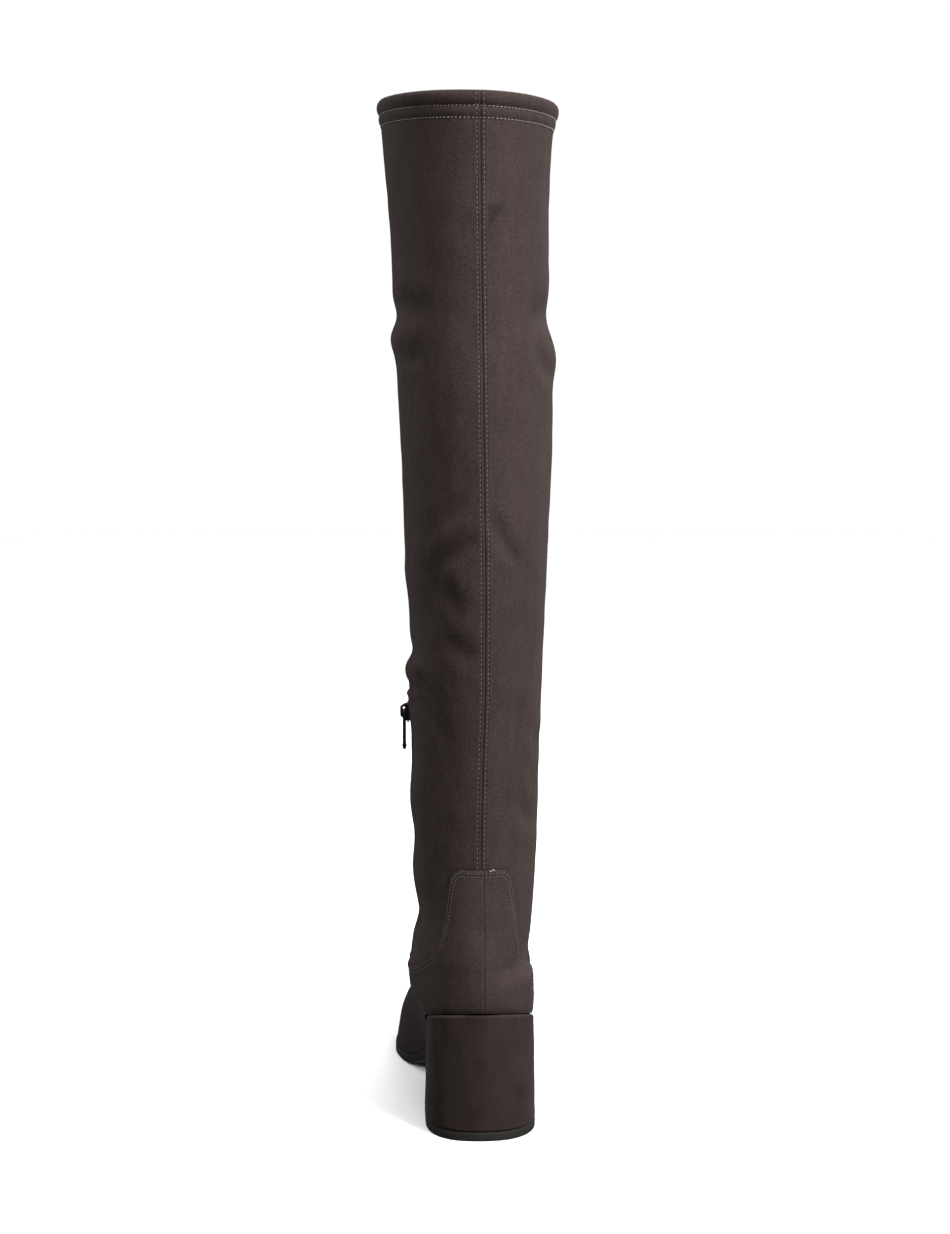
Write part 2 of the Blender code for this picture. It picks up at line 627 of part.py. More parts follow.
def make_slider():
    """Slider body in the slot with the bridge that holds the pull."""
    pivot = pull_pivot()
    half = SLIDER_WIDTH / 2
    long = SLIDER_LENGTH / 2
    outline = []
    for y, z, start in ((half, long, 0), (-half, long, 90), (-half, -long, 180), (half, -long, 270)):
        corner = (y - math.copysign(SLIDER_CORNER, y), z - math.copysign(SLIDER_CORNER, z))
        outline += arc(corner, SLIDER_CORNER, start, start + 90, ARC_STEPS)
    face = pivot[0] + BRIDGE_HOLE + PIECE_GAP
    centre = (face + SLIDER_HEIGHT / 2, pivot[1], pivot[2])
    body = new_object("zip_slider", lambda bm: plate(bm, outline, SLIDER_HEIGHT, "X", centre), METAL)

    def bridge(bm):
        ring = arc((0.0, 0.0), BRIDGE_RADIUS, 0, 360, ROUND_STEPS)[:-1]
        hole = arc((0.0, 0.0), BRIDGE_HOLE, 0, 360, ROUND_STEPS)[:-1]
        verts = {}
        for sign in (-0.5, 0.5):
            for name, points in (("ring", ring), ("hole", hole)):
                verts[name, sign] = [bm.verts.new((pivot[0] + a, pivot[1] + sign * BRIDGE_WIDTH, pivot[2] + b))
                                     for a, b in points]
        for i in range(ROUND_STEPS):
            k = (i + 1) % ROUND_STEPS
            for sign in (-0.5, 0.5):
                bm.faces.new((verts["ring", sign][i], verts["ring", sign][k],
                              verts["hole", sign][k], verts["hole", sign][i]))
            for name in ("ring", "hole"):
                bm.faces.new((verts[name, -0.5][i], verts[name, -0.5][k],
                              verts[name, 0.5][k], verts[name, 0.5][i]))

    return union(body, new_object("bridge", bridge, METAL))


def make_pull():
    """Pull tab: a pin through the bridge, two arms and a tab with a thicker end, hanging down."""
    pivot = pull_pivot()
    gap = BRIDGE_WIDTH / 2 + PIECE_GAP
    reach = BRIDGE_RADIUS + 4 * PIECE_GAP
    half = PULL_WIDTH / 2
    end = PULL_LENGTH
    side = PULL_END_WIDTH / 2
    tab = [(-gap - PULL_ARM, -reach), (-half, -reach - PULL_NECK), (-side, -end + half / 2)]
    tab += arc((0.0, -end + PULL_END_RADIUS), PULL_END_RADIUS, 200, 340, 2 * ARC_STEPS)
    tab += [(side, -end + half / 2), (half, -reach - PULL_NECK), (gap + PULL_ARM, -reach)]
    pull = new_object("zip_pull", lambda bm: plate(bm, tab, PULL_THICKNESS, "X", pivot), METAL)
    for sign in (-1, 1):
        place = (pivot[0], pivot[1] + sign * (gap + PULL_ARM / 2), pivot[2])
        root = (PULL_THICKNESS - PIECE_GAP / 2) / 2
        arm = arc((0.0, 0.0), PULL_EYE, 0, 180, 8)
        arm += [(-root, -reach - PULL_ARM), (root, -reach - PULL_ARM)]
        extra = new_object("arm", lambda bm: plate(bm, arm, PULL_ARM, "Y", place), METAL)
        union(pull, extra)
    pin = arc((0.0, 0.0), PULL_PIN_RADIUS, 0, 360, 12)[:-1]
    union(pull, new_object("pin", lambda bm: plate(bm, pin, 2 * gap + PULL_ARM, "Y", pivot), METAL))
    knob = arc((0.0, -end + 0.75 * half), KNOB_RADIUS, 0, 360, 12)[:-1]
    union(pull, new_object("knob", lambda bm: plate(bm, knob, KNOB_WIDTH, "Y", pivot), METAL))
    pull.data.transform(Matrix.Translation([-value for value in pivot]))
    pull.location = pivot
    return pull


def sole_turns(start):
    """Turns of the wall's columns on one side, from a turn to the toe."""
    return [turn for turn in column_turns() if start <= turn <= math.pi]


def board(bm, turns, rims):
    """Solid between outlines that share their turns, the first of them on top and the last underneath.

    A rim is (how far out, how much further from the ball on, function from y to a height). Points of both
    sides lie at the same turn.
    """
    closed_back = turns[0] == 0.0
    ease = {turn: waist_ease(feather_point(turn, 0.0, 0.0)[0][1]) for turn in turns}
    loops = []
    for proud, edge, height in rims:
        loop = []
        for turn in turns:
            x, y, _ = feather_point(turn, 0.0, proud + edge * ease[turn])[0]
            loop.append(bm.verts.new((x, y, height(y))))
        for turn in reversed(turns[1:-1] if closed_back else turns[:-1]):
            y = loop[turns.index(turn)].co.y
            x = feather_point(2 * math.pi - turn, 0.0, proud + edge * ease[turn])[0][0]
            loop.append(bm.verts.new((x, y, height(y))))
        loops.append(loop)
    count = len(loops[0])
    for upper, lower in zip(loops, loops[1:]):
        for i in range(count):
            k = (i + 1) % count
            bm.faces.new((upper[i], upper[k], lower[k], lower[i]))
    last = len(turns) - 1
    for loop in (loops[0], loops[-1]):
        other = [loop[(2 * last - i) % count] for i in range(last + 1)]
        for i in range(last):
            ring = [loop[i], loop[i + 1], other[i + 1], other[i]]
            unique = list(dict.fromkeys(ring))
            bm.faces.new(unique)


def make_outsole():
    """Thin sole from the heel's breast to the toe, its edge a little outside the upper."""
    turns = sole_turns(breast_turn())

    def between(share):
        return lambda y: sole_top(y) + (sole_bottom(y) - sole_top(y)) * share

    rims = [(FOOT_STEP, out * SOLE_EDGE, between(share)) for out, share in SOLE_RIMS]
    return new_object("outsole", lambda bm: board(bm, turns, rims), RUBBER)


def make_insole():
    """Insole inside the wall, over the whole length."""
    turns = sole_turns(0.0)
    inset = -SHAFT_WALL - 2 * PIECE_GAP
    rims = ((inset, 0.0, lambda y: sole_top(y) + PIECE_GAP + INSOLE_THICKNESS),
            (inset, 0.0, lambda y: sole_top(y) + PIECE_GAP))
    return new_object("insole", lambda bm: board(bm, turns, rims), LINING)


def heel_outline(width, back, front, count):
    """D-shaped outline: round behind, straight sides, flat breast with small corners."""
    half = width / 2
    corner = HEEL_CORNER * width
    depth = min(HEEL_BACK_DEPTH * width, front - back)
    outline = []
    for i in range(count + 1):
        angle = math.pi * i / count
        across = -math.cos(angle)
        x = half * math.copysign(abs(across) ** HEEL_BACK_POWER, across)
        outline.append((x, back + depth - depth * abs(math.sin(angle)) ** HEEL_BACK_POWER))
    outline += arc((half - corner, front - corner), corner, 0, 90, ARC_STEPS)
    outline += arc((corner - half, front - corner), corner, 90, 180, ARC_STEPS)
    return outline


def make_heel():
    """Covered block heel and the rubber piece under it."""
    front = HEEL_DEPTH - HEEL_BACK
    split = TOP_PIECE_THICKNESS
    seat_width = HEEL_WIDTH - PIECE_GAP

    def ring_at(share, height, inset):
        width = HEEL_BASE_WIDTH + (seat_width - HEEL_BASE_WIDTH) * share - 2 * inset
        back = -HEEL_BACK - HEEL_RAKE * share + inset
        return [(x, y, height(y)) for x, y in heel_outline(width, back, front - inset, HEEL_STEPS)]

    def solid(rings):
        def fill(bm):
            loops = [[bm.verts.new(point) for point in ring] for ring in rings]
            count = len(loops[0])
            for lower, upper in zip(loops, loops[1:]):
                for i in range(count):
                    k = (i + 1) % count
                    bm.faces.new((lower[i], lower[k], upper[k], upper[i]))
            bm.faces.new(loops[0])
            bm.faces.new(loops[-1])
        return fill

    def between(share):
        return lambda y: split + PIECE_GAP + (sole_top(y) - PIECE_GAP - split) * share

    block = [ring_at(share, between(share), inset) for share, inset in HEEL_RINGS]
    new_object("heel_block", solid(block), SUEDE)
    piece = [ring_at(0.0, lambda y: 0.0, TOP_PIECE_ROUND),
             ring_at(0.0, lambda y: TOP_PIECE_ROUND, 0.0),
             ring_at(0.0, lambda y: split, 0.0)]
    new_object("heel_top_piece", solid(piece), RUBBER)


def main():
    for thing in list(bpy.data.objects):
        bpy.data.objects.remove(thing)
    make_foot_upper()
    make_shaft()
    make_insole()
    make_outsole()
    make_heel()
    make_zip_cloth()
    make_slider()
    make_pull()


main()
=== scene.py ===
"""Looks of a right thigh high boot in faux suede: covered block heel, stitched seams and a short inner zip.

Metres, +Z up, +Y towards the toe, +X towards the outer side of the right foot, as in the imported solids.
"""
import json
import math

import bmesh
import bpy
import numpy as np
from mathutils import Matrix, Vector


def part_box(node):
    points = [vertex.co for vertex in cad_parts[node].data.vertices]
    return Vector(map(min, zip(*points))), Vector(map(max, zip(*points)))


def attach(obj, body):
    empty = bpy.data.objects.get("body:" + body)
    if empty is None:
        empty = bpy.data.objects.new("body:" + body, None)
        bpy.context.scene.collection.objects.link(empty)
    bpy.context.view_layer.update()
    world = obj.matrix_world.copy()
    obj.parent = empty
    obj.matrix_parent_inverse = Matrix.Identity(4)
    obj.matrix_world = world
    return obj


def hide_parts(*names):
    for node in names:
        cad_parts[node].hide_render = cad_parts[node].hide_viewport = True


# The solids' own sizes
FOOT_LENGTH = 0.240
BALL_WIDTH = 0.084
HEEL_WIDTH = 0.0600
HEEL_BACK = 0.028
HEEL_HEIGHT = 0.072
ANKLE_HEIGHT = 0.097
SIDE_SEAM = 0.084
COUNTER_HEIGHT = 0.1505
INSTEP_HEIGHT = 0.126
BOOT_HEIGHT = 0.5695
COLLAR_RISE = 0.014
COLLAR_SIDE_FALL = 0.0014
COLLAR_WIDTH = 0.1010
COLLAR_DEPTH = 0.1620
SHAFT_WALL = 0.0018
FOOT_STEP = 0.0007
PIECE_GAP = 0.0003
SOLE_THICKNESS = 0.0048
SHANK_THICKNESS = 0.0034
SOLE_EDGE = 0.0011
TOE_SPRING = 0.0080
BALL_START = 0.60
BALL_END = 0.80
SEAT_SLOPE = -0.29
HEEL_DEPTH = 0.055
HEEL_BASE_WIDTH = 0.0622
HEEL_RAKE = 0.0022
HEEL_CORNER = 0.10
HEEL_BACK_DEPTH = 0.51
HEEL_BACK_POWER = 0.83
TOP_PIECE_THICKNESS = 0.0050
INSOLE_THICKNESS = 0.0025
ZIP_BOTTOM = 0.0880
ZIP_TOP = 0.2392
ZIP_SLOT_WIDTH = 0.0072
ZIP_TAPE_WIDTH = 0.0220

# Foot sections: height is a share of ANKLE_HEIGHT, back and front of FOOT_LENGTH, heel of HEEL_WIDTH and the
# rest of BALL_WIDTH
FOOT_COLUMNS = ("height", "back", "front", "shift", "back_radius", "heel", "inner_waist", "outer_waist",
                "ball", "toe", "front_radius")
FOOT_SECTIONS = (
    (0.03, 0.008, 0.988, -0.107, 0.32, 0.450, 0.262, 0.357, 0.490, 0.345, 0.25),
    (0.21, 0.004, 0.998, -0.100, 0.32, 0.450, 0.280, 0.369, 0.460, 0.340, 0.26),
    (0.33, 0.002, 0.979, -0.090, 0.32, 0.448, 0.298, 0.369, 0.424, 0.312, 0.28),
    (0.43, 0.000, 0.929, -0.080, 0.32, 0.445, 0.321, 0.366, 0.388, 0.260, 0.28),
    (0.52, -0.002, 0.833, -0.072, 0.32, 0.442, 0.345, 0.368, 0.368, 0.258, 0.26),
    (0.62, -0.004, 0.742, -0.065, 0.32, 0.438, 0.374, 0.368, 0.368, 0.270, 0.24),
    (0.74, -0.008, 0.671, -0.058, 0.32, 0.442, 0.445, 0.366, 0.374, 0.262, 0.23),
    (0.88, -0.010, 0.604, -0.048, 0.27, 0.424, 0.456, 0.348, 0.374, 0.252, 0.21),
)
STATION_SHARES = {"heel": 0.12, "waist": 0.38, "ball": 0.70, "toe": 0.90}
STATIONS = ("back", "heel", "waist", "ball", "toe", "front")

# Leg sections: height is a share from the ankle seam to the collar, inner and outer are shares of
# COLLAR_WIDTH, back and front of COLLAR_DEPTH
LEG_COLUMNS = ("height", "back", "front", "inner", "outer")
LEG_SECTIONS = (
    (0.000, -0.186, 0.648, 0.370, 0.290),
    (0.025, -0.175, 0.605, 0.348, 0.302),
    (0.050, -0.160, 0.562, 0.338, 0.314),
    (0.112, -0.140, 0.512, 0.360, 0.330),
    (0.235, -0.150, 0.520, 0.370, 0.344),
    (0.358, -0.180, 0.556, 0.382, 0.366),
    (0.493, -0.208, 0.600, 0.410, 0.394),
    (0.641, -0.208, 0.642, 0.440, 0.422),
    (0.759, -0.185, 0.690, 0.470, 0.408),
    (0.853, -0.178, 0.728, 0.486, 0.402),
    (0.959, -0.183, 0.784, 0.524, 0.420),
    (1.000, -0.190, 0.808, 0.540, 0.442),
)

# Large folds of the leg, which the solids have too: height as a share from the ankle seam to the collar, turn
# as a share of a half turn, depth and half height as shares of COLLAR_WIDTH, half width as a share of a half
# turn, and slant
FOLDS = (
    (0.758, 0.50, -0.026, 0.11, 0.30, 0.00),
    (0.712, 0.50, 0.026, 0.13, 0.30, 0.00),
    (0.762, -0.50, -0.022, 0.08, 0.26, 0.00),
    (0.733, -0.50, 0.022, 0.08, 0.26, 0.00),
    (0.490, 0.12, -0.012, 0.12, 0.14, -0.25),
    (0.445, -0.20, -0.012, 0.12, 0.16, 0.25),
    (0.455, -0.50, 0.010, 0.10, 0.16, 0.00),
    (0.338, -0.48, 0.020, 0.09, 0.18, 0.00),
    (0.300, -0.50, 0.014, 0.13, 0.18, 0.00),
    (0.310, -0.30, -0.010, 0.10, 0.16, -0.30),
)

# Upper edge of the foot: share of a half turn from the back seam, and rise from SIDE_SEAM
COUNTER_EDGE = ((0.000, 1.00), (0.105, 1.00), (0.150, 0.94), (0.172, 0.82), (0.198, 0.59), (0.222, 0.41),
                (0.255, 0.26), (0.310, 0.15), (0.390, 0.04), (0.470, 0.00))
INSTEP_EDGE = ((0.550, 0.00), (0.680, 0.18), (0.820, 0.60), (0.930, 0.94), (1.000, 1.00))

# Path of the back seam: height and how far it wanders to the outer side
SEAM_PATH = ((0.150, -0.0010), (0.185, -0.0006), (0.215, 0.0000), (0.250, 0.0010), (0.300, 0.0009),
             (0.370, 0.0000), (0.430, -0.0006), (0.500, -0.0012), (0.570, -0.0017))
COUNTER_SEAM = 0.0004        # the counter's own seam, this far to the outer side
SEAM_ROW = 0.0019            # stitch rows of the back seam, to each side

# Profile of the turned hem, from the leg over the edge to the inside: drop below the edge, and proud
HEM = (
    (0.0300, 0.0000), (0.0240, 0.0000), (0.0180, 0.0001), (0.0158, 0.0001), (0.0150, 0.0000),
    (0.0144, 0.0001), (0.0137, 0.0004), (0.0125, 0.0008), (0.0112, 0.0010), (0.0100, 0.0009),
    (0.0090, 0.0006), (0.0083, 0.0002), (0.0076, 0.0008), (0.0064, 0.0015), (0.0045, 0.0019),
    (0.0026, 0.0018), (0.0012, 0.0013), (0.0004, 0.0005), (0.0000, -0.0008), (0.0003, -0.0018),
    (0.0012, -0.0025), (0.0030, -0.0028), (0.0060, -0.0027), (0.0083, -0.0023), (0.0112, -0.0026),
    (0.0144, -0.0023), (0.0170, -0.0025), (0.0200, -0.0026),
)
HEM_ROWS = (0.0083, 0.0144)  # drops of its two stitch rows
HEM_INNER_ROWS = 9           # last rows of the profile, inside the leg

# Lower rows of the shaft: lift above the foot's edge, and proud
SHAFT_EDGE = ((-0.0022, -0.0004), (-0.0004, -0.0003), (0.0004, -0.0001), (0.0012, 0.0000))
LEG_START = 0.0028           # lift of the first row above them
SHAFT_ROWS = 236             # rows of the leg between its lower edge and the hem
CLOTH = 0.0012               # thickness of the leg's cloth outside its lining
LINING_FACES = (-0.0014, -0.0020)  # the lining's two faces, out of the leg's surface
LINING_DROP = 0.0165         # of the lining's upper edge below the collar
LINING_ROWS = 90
FOOT_PROUD = FOOT_STEP + 0.0003  # of the foot's suede from the leg's surface

# Soft creases of the leg, on the leg laid flat: distance around from the back (plus to the outer side) and
# height at both ends, depth, half width, and how far the line bows to its left
CREASES = (
    (-0.004, 0.374, -0.028, 0.338, 0.0009, 0.0055, 0.003),
    (-0.002, 0.338, -0.036, 0.318, 0.0013, 0.0050, 0.003),
    (0.004, 0.350, 0.024, 0.318, 0.0013, 0.0045, -0.003),
    (-0.052, 0.322, -0.008, 0.288, 0.0010, 0.0055, 0.004),
    (-0.058, 0.259, -0.020, 0.237, 0.0017, 0.0040, 0.002),
    (-0.056, 0.246, -0.020, 0.225, 0.0014, 0.0042, 0.003),
    (-0.026, 0.280, -0.004, 0.266, 0.0008, 0.0055, 0.001),
    (-0.070, 0.466, -0.034, 0.452, 0.0014, 0.0060, 0.002),
    (-0.072, 0.437, -0.040, 0.430, 0.0013, 0.0050, -0.002),
    (0.066, 0.462, 0.030, 0.450, 0.0013, 0.0070, -0.002),
    (0.068, 0.424, 0.038, 0.432, 0.0010, 0.0060, 0.002),
    (0.060, 0.172, 0.020, 0.186, 0.0009, 0.0060, 0.003),
    (0.064, 0.214, 0.036, 0.226, 0.0008, 0.0060, 0.002),
    (0.150, 0.152, 0.096, 0.160, 0.0016, 0.0050, 0.003),
    (0.148, 0.170, 0.100, 0.182, 0.0013, 0.0055, -0.003),
    (-0.146, 0.154, -0.098, 0.164, 0.0016, 0.0050, -0.003),
    (-0.142, 0.176, -0.102, 0.184, 0.0011, 0.0055, 0.003),
    (0.170, 0.430, 0.120, 0.446, 0.0013, 0.0070, 0.004),
    (-0.168, 0.446, -0.118, 0.432, 0.0013, 0.0070, 0.004),
    (0.160, 0.470, 0.110, 0.462, 0.0009, 0.0070, -0.003),
    (-0.150, 0.300, -0.090, 0.322, 0.0008, 0.0070, 0.005),
    (0.150, 0.336, 0.100, 0.312, 0.0008, 0.0070, 0.005),
)
RIDGE_SHARE = 0.45           # height of the ridges beside a crease

# Waves of the cloth at the zip: height, depth, half height
ZIP_WAVES = ((0.267, -0.0016, 0.0055), (0.257, 0.0012, 0.0060), (0.2478, -0.0018, 0.0026),
             (0.2430, 0.0013, 0.0022), (0.184, 0.0017, 0.013), (0.160, -0.0005, 0.008),
             (0.137, 0.0016, 0.011), (0.114, -0.0010, 0.007))
ZIP_WAVE_WIDE = 0.026
ZIP_TURN = 1.5 * math.pi     # turn of the zip, on the inner side
ZIP_SLOT_TURN = ZIP_SLOT_WIDTH / 0.112  # half the slot as a turn, where one radian is 56 mm around

# A brushed mark of the nap beside the back seam, as the corners of a dark triangle, and soft patches of
# painted shade as distance around, height, half width, half height and depth
NAP_MARK = ((0.0016, 0.5110), (0.0125, 0.5110), (0.0030, 0.4970))
LEG_PAINTED_SHADE_PATCHES = (
    (-0.0075, 0.386, 0.0040, 0.018, 0.13),
    (0.0120, 0.478, 0.0080, 0.012, 0.07),
    (0.0060, 0.452, 0.0050, 0.010, 0.06),
    (-0.0400, 0.190, 0.0090, 0.060, 0.12),
)

# Rubbed places at the back of the heel block: distance to the outer side, height, half width, half height
# and depth
HEEL_MARKS = (
    (-0.0010, 0.042, 0.0026, 0.0060, 0.24),
    (0.0215, 0.025, 0.0034, 0.0050, 0.26),
    (-0.0030, 0.017, 0.0045, 0.0040, 0.16),
    (-0.0150, 0.036, 0.0070, 0.0110, 0.14),
    (0.0120, 0.054, 0.0060, 0.0050, 0.12),
)
SEAT_PAINTED_SHADE = 0.20            # painted shade of the counter just above the seat

# Creases of the vamp: share of FOOT_LENGTH from the heel, depth, half length
VAMP_CREASES = ((0.640, 0.0007, 0.0035), (0.672, 0.0005, 0.0030), (0.600, 0.0004, 0.0040))

# Stitches: pitch, length of one and radius of its thread, for each kind of seam
STITCH_COLUMNS = ("pitch", "length", "radius", "arch")
STITCH_KINDS = {
    "hem": (0.00230, 0.00105, 0.00024, 0.00010),
    "seam": (0.00262, 0.00130, 0.00019, 0.00012),
    "foot": (0.00210, 0.00095, 0.00019, 0.00010),
    "counter": (0.00240, 0.00150, 0.00014, 0.00000),
    "knot": (0.00090, 0.00110, 0.00024, 0.00018),
}
KNOT = (0.0036, 0.0066)      # thread ends on the counter's top edge, distances around
FOOT_STITCH_ROWS = (0.0014, 0.0033)
FOOT_STITCH_RUNS = ((-1.42, 1.48), (1.48, math.pi), (-math.pi, -1.72))  # turns at their ends
HEM_STITCH_LIFTS = (0.00040, 0.00012)  # of the hem's two rows, out of the leg's surface

# Soft ridges and grooves beside a line: distance from it, height (minus is a groove), half width
SEAM_RIDGES = ((0.0, -0.00040, 0.00032), (0.00105, 0.00030, 0.00055), (SEAM_ROW, -0.00022, 0.00035),
               (0.0029, 0.00018, 0.0008))
SEAM_REACH = 0.012
COUNTER_RIDGES = ((0.0, -0.00030, 0.00040), (0.0012, 0.00016, 0.0007))
FOOT_EDGE_RIDGES = ((0.0, -0.0002, 0.0006), (0.0011, 0.00022, 0.0009),
                    *((row, -0.00016, 0.0005) for row in FOOT_STITCH_ROWS))
SLOT_RIDGES = ((0.0, -0.0009, 0.010), (0.030, 0.0005, 0.020))
# Painted shade in the back seam's groove and stitch channels, in the same layout: minus darkens
SEAM_GROOVE_PAINTED_SHADE = ((0.0, -0.14, 0.0006), (SEAM_ROW, -0.10, 0.0006))

# Slider and pull, on the joint's axis
SLIDER_WIDTH = 0.0062
SLIDER_LENGTH = 0.0120
SLIDER_HEIGHT = 0.0032
BRIDGE_RADIUS = 0.0024
BRIDGE_HOLE = 0.0013
BRIDGE_WIDTH = 0.0028
PULL_REACH = 0.0052          # of the two arms beside the bridge
PULL_LENGTH = 0.0216
PULL_WIDTH = 0.0060
PULL_THICKNESS = 0.0019
PULL_ARM = 0.0010
PULL_PIN = 0.0006
TOOTH_PITCH = 0.00125

# Painted shadow of the foot's edge on the leg's cloth: its depth and reach
FOOT_EDGE_PAINTED_SHADOW = 0.45            # of the cloth just above the foot's edge
FOOT_EDGE_PAINTED_SHADOW_REACH = 0.0009
SUEDE_DARK = (0.0215, 0.0152, 0.0140)
SUEDE_LIGHT = (0.0400, 0.0292, 0.0270)
HEEL_TONE = 0.70             # of the heel's darker suede
VAMP_PAINTED_SHADE = 0.52            # of the vamp: painted shade, darker towards the toe

# The photograph's camera, in its frame of 950 x 1234 pixels
PHOTO_HEIGHT = 1234
PHOTO_FOCAL = 1877.4
CAMERA_PLACE = (-0.0534, -1.0360, 0.3745)
CAMERA_PITCH = 4.735
CAMERA_YAW = 2.78

STAGE_REACH = 9.0
WORLD_POWER = 0.16
SKY_POWER = 3.7
SKY_ANGLE = 70               # degrees, for soft shadows
SKY_AIM = (-0.30, 0.15, -1.0)
LAMP_AIM = Vector((0.0, 0.0, 0.30))
# Soft lamps: name, place, size and power
LAMPS = (
    ("key", (1.07, -1.07, 1.35), 0.7, 75.0),
    ("fill", (-0.95, -1.13, 1.25), 0.9, 15.0),
    ("toe_side", (0.70, 1.50, 1.90), 1.2, 18.0),
    ("inner_side", (-1.35, 0.95, 1.30), 1.2, 17.0),
)
# Threads, and the painted shadow in the needle holes: darker and lighter colour
THREADS = {
    "pale_thread": ((0.16, 0.145, 0.135), (0.36, 0.33, 0.31)),
    "grey_thread": ((0.062, 0.054, 0.051), (0.148, 0.130, 0.122)),
    "dim_thread": ((0.048, 0.041, 0.038), (0.115, 0.101, 0.094)),
    "needle_shadow": ((0.006, 0.005, 0.005), (0.012, 0.010, 0.010)),
}
# Turns of a flat outline that make it thick along X or Y
PRISM_TURNS = {"X": Matrix(((0, 0, 1), (1, 0, 0), (0, 1, 0))),
               "Y": Matrix(((1, 0, 0), (0, 0, -1), (0, 1, 0)))}

RANDOM = np.random.default_rng(7)

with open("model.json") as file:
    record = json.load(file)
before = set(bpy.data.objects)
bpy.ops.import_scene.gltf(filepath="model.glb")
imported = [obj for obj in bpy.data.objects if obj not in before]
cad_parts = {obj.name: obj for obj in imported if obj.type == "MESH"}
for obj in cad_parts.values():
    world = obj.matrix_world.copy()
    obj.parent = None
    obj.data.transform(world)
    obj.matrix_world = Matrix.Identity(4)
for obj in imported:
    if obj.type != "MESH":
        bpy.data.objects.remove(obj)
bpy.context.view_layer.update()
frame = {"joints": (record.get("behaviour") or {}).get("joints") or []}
PIVOT = Vector(frame["joints"][0]["pos_m"])


def named(columns, rows):
    """Rows of numbers as dictionaries keyed by their column names."""
    return [dict(zip(columns, row)) for row in rows]


def unit(vectors):
    """Vectors brought to a length of one."""
    return vectors / np.linalg.norm(vectors, axis=-1, keepdims=True)


def eased(t):
    """Smooth rise from 0 to 1."""
    return t * t * (3 - 2 * t)


def nearest(values, goal):
    """Index of the value closest to a goal."""
    return int(np.argmin(np.abs(values - goal)))


def tangents(keys, values):
    """Slopes of the monotone cubic at its keys, which run along the last axis."""
    slope = np.diff(values, axis=-1) / np.diff(keys)
    before, after = slope[..., :-1], slope[..., 1:]
    total = np.where(before + after == 0, 1.0, before + after)
    middle = np.where(before * after > 0, 2 * before * after / total, 0.0)
    return np.concatenate([slope[..., :1], middle, slope[..., -1:]], axis=-1)


def cubic(keys, at):
    """Index of the span that holds each place, and the weights of its two values and two slopes."""
    i = np.clip(np.searchsorted(keys, at, side="right") - 1, 0, len(keys) - 2)
    span = keys[i + 1] - keys[i]
    t = np.clip((at - keys[i]) / span, 0.0, 1.0)
    return i, ((1 + 2 * t) * (1 - t) ** 2, eased(t), t * (1 - t) ** 2 * span, -t * t * (1 - t) * span)


def through(pairs, at):
    """Monotone cubic through (key, value) pairs."""
    keys = np.array([pair[0] for pair in pairs], float)
    values = np.array([pair[1] for pair in pairs], float)
    slope = tangents(keys, values)
    i, w = cubic(keys, np.asarray(at, float))
    return w[0] * values[i] + w[1] * values[i + 1] + w[2] * slope[i] + w[3] * slope[i + 1]


def level_table():
    """Foot and leg sections as one table of levels: heights, and the values of each name at them."""
    levels = []
    for row in named(FOOT_COLUMNS, FOOT_SECTIONS):
        level = {"z": row["height"] * ANKLE_HEIGHT,
                 "back": row["back"] * FOOT_LENGTH - HEEL_BACK,
                 "front": row["front"] * FOOT_LENGTH - HEEL_BACK,
                 "shift": row["shift"] * BALL_WIDTH}
        half_run = (level["front"] - level["back"]) / 2
        widths = {"heel": (row["heel"] * HEEL_WIDTH,) * 2,
                  "waist": (row["inner_waist"] * BALL_WIDTH, row["outer_waist"] * BALL_WIDTH),
                  "ball": (row["ball"] * BALL_WIDTH,) * 2,
                  "toe": (row["toe"] * BALL_WIDTH,) * 2}
        for side, name in enumerate(("inner", "outer")):
            level[name + "_back"] = math.sqrt(row["back_radius"] * BALL_WIDTH * half_run)
            level[name + "_front"] = math.sqrt(row["front_radius"] * BALL_WIDTH * half_run)
            for station, share in STATION_SHARES.items():
                level[name + "_" + station] = widths[station][side] / (2 * math.sqrt(share * (1 - share)))
        levels.append(level)
    for row in named(LEG_COLUMNS, LEG_SECTIONS):
        level = {"z": ANKLE_HEIGHT + row["height"] * (BOOT_HEIGHT - ANKLE_HEIGHT),
                 "back": row["back"] * COLLAR_DEPTH,
                 "front": row["front"] * COLLAR_DEPTH,
                 "shift": 0.0}
        for name in ("inner", "outer"):
            for station in STATIONS:
                level[name + "_" + station] = row[name] * COLLAR_WIDTH
        levels.append(level)
    heights = np.array([level["z"] for level in levels])
    return heights, {name: np.array([level[name] for level in levels]) for name in levels[0] if name != "z"}


LEVEL_Z, LEVEL_VALUES = level_table()
LEVEL_SLOPES = {name: tangents(LEVEL_Z, values) for name, values in LEVEL_VALUES.items()}
SHARE_KEYS = np.array([0.0, *STATION_SHARES.values(), 1.0])


def half_turn(turn):
    """Share of a half turn from the back seam, minus on the inner side."""
    return ((turn + math.pi) % (2 * math.pi) - math.pi) / math.pi


def fold_offset(turn, z):
    """Out or in movement of the leg's surface by its large folds."""
    share = (z - ANKLE_HEIGHT) / (BOOT_HEIGHT - ANKLE_HEIGHT)
    total = 0.0
    for height, middle, depth, tall, wide, slant in FOLDS:
        across = (half_turn(turn) - middle) / wide
        rise = (share - height) * (BOOT_HEIGHT - ANKLE_HEIGHT) / COLLAR_WIDTH
        along = (rise - slant * across) / tall
        total = total + depth * COLLAR_WIDTH * np.exp(-across * across - along * along)
    return total


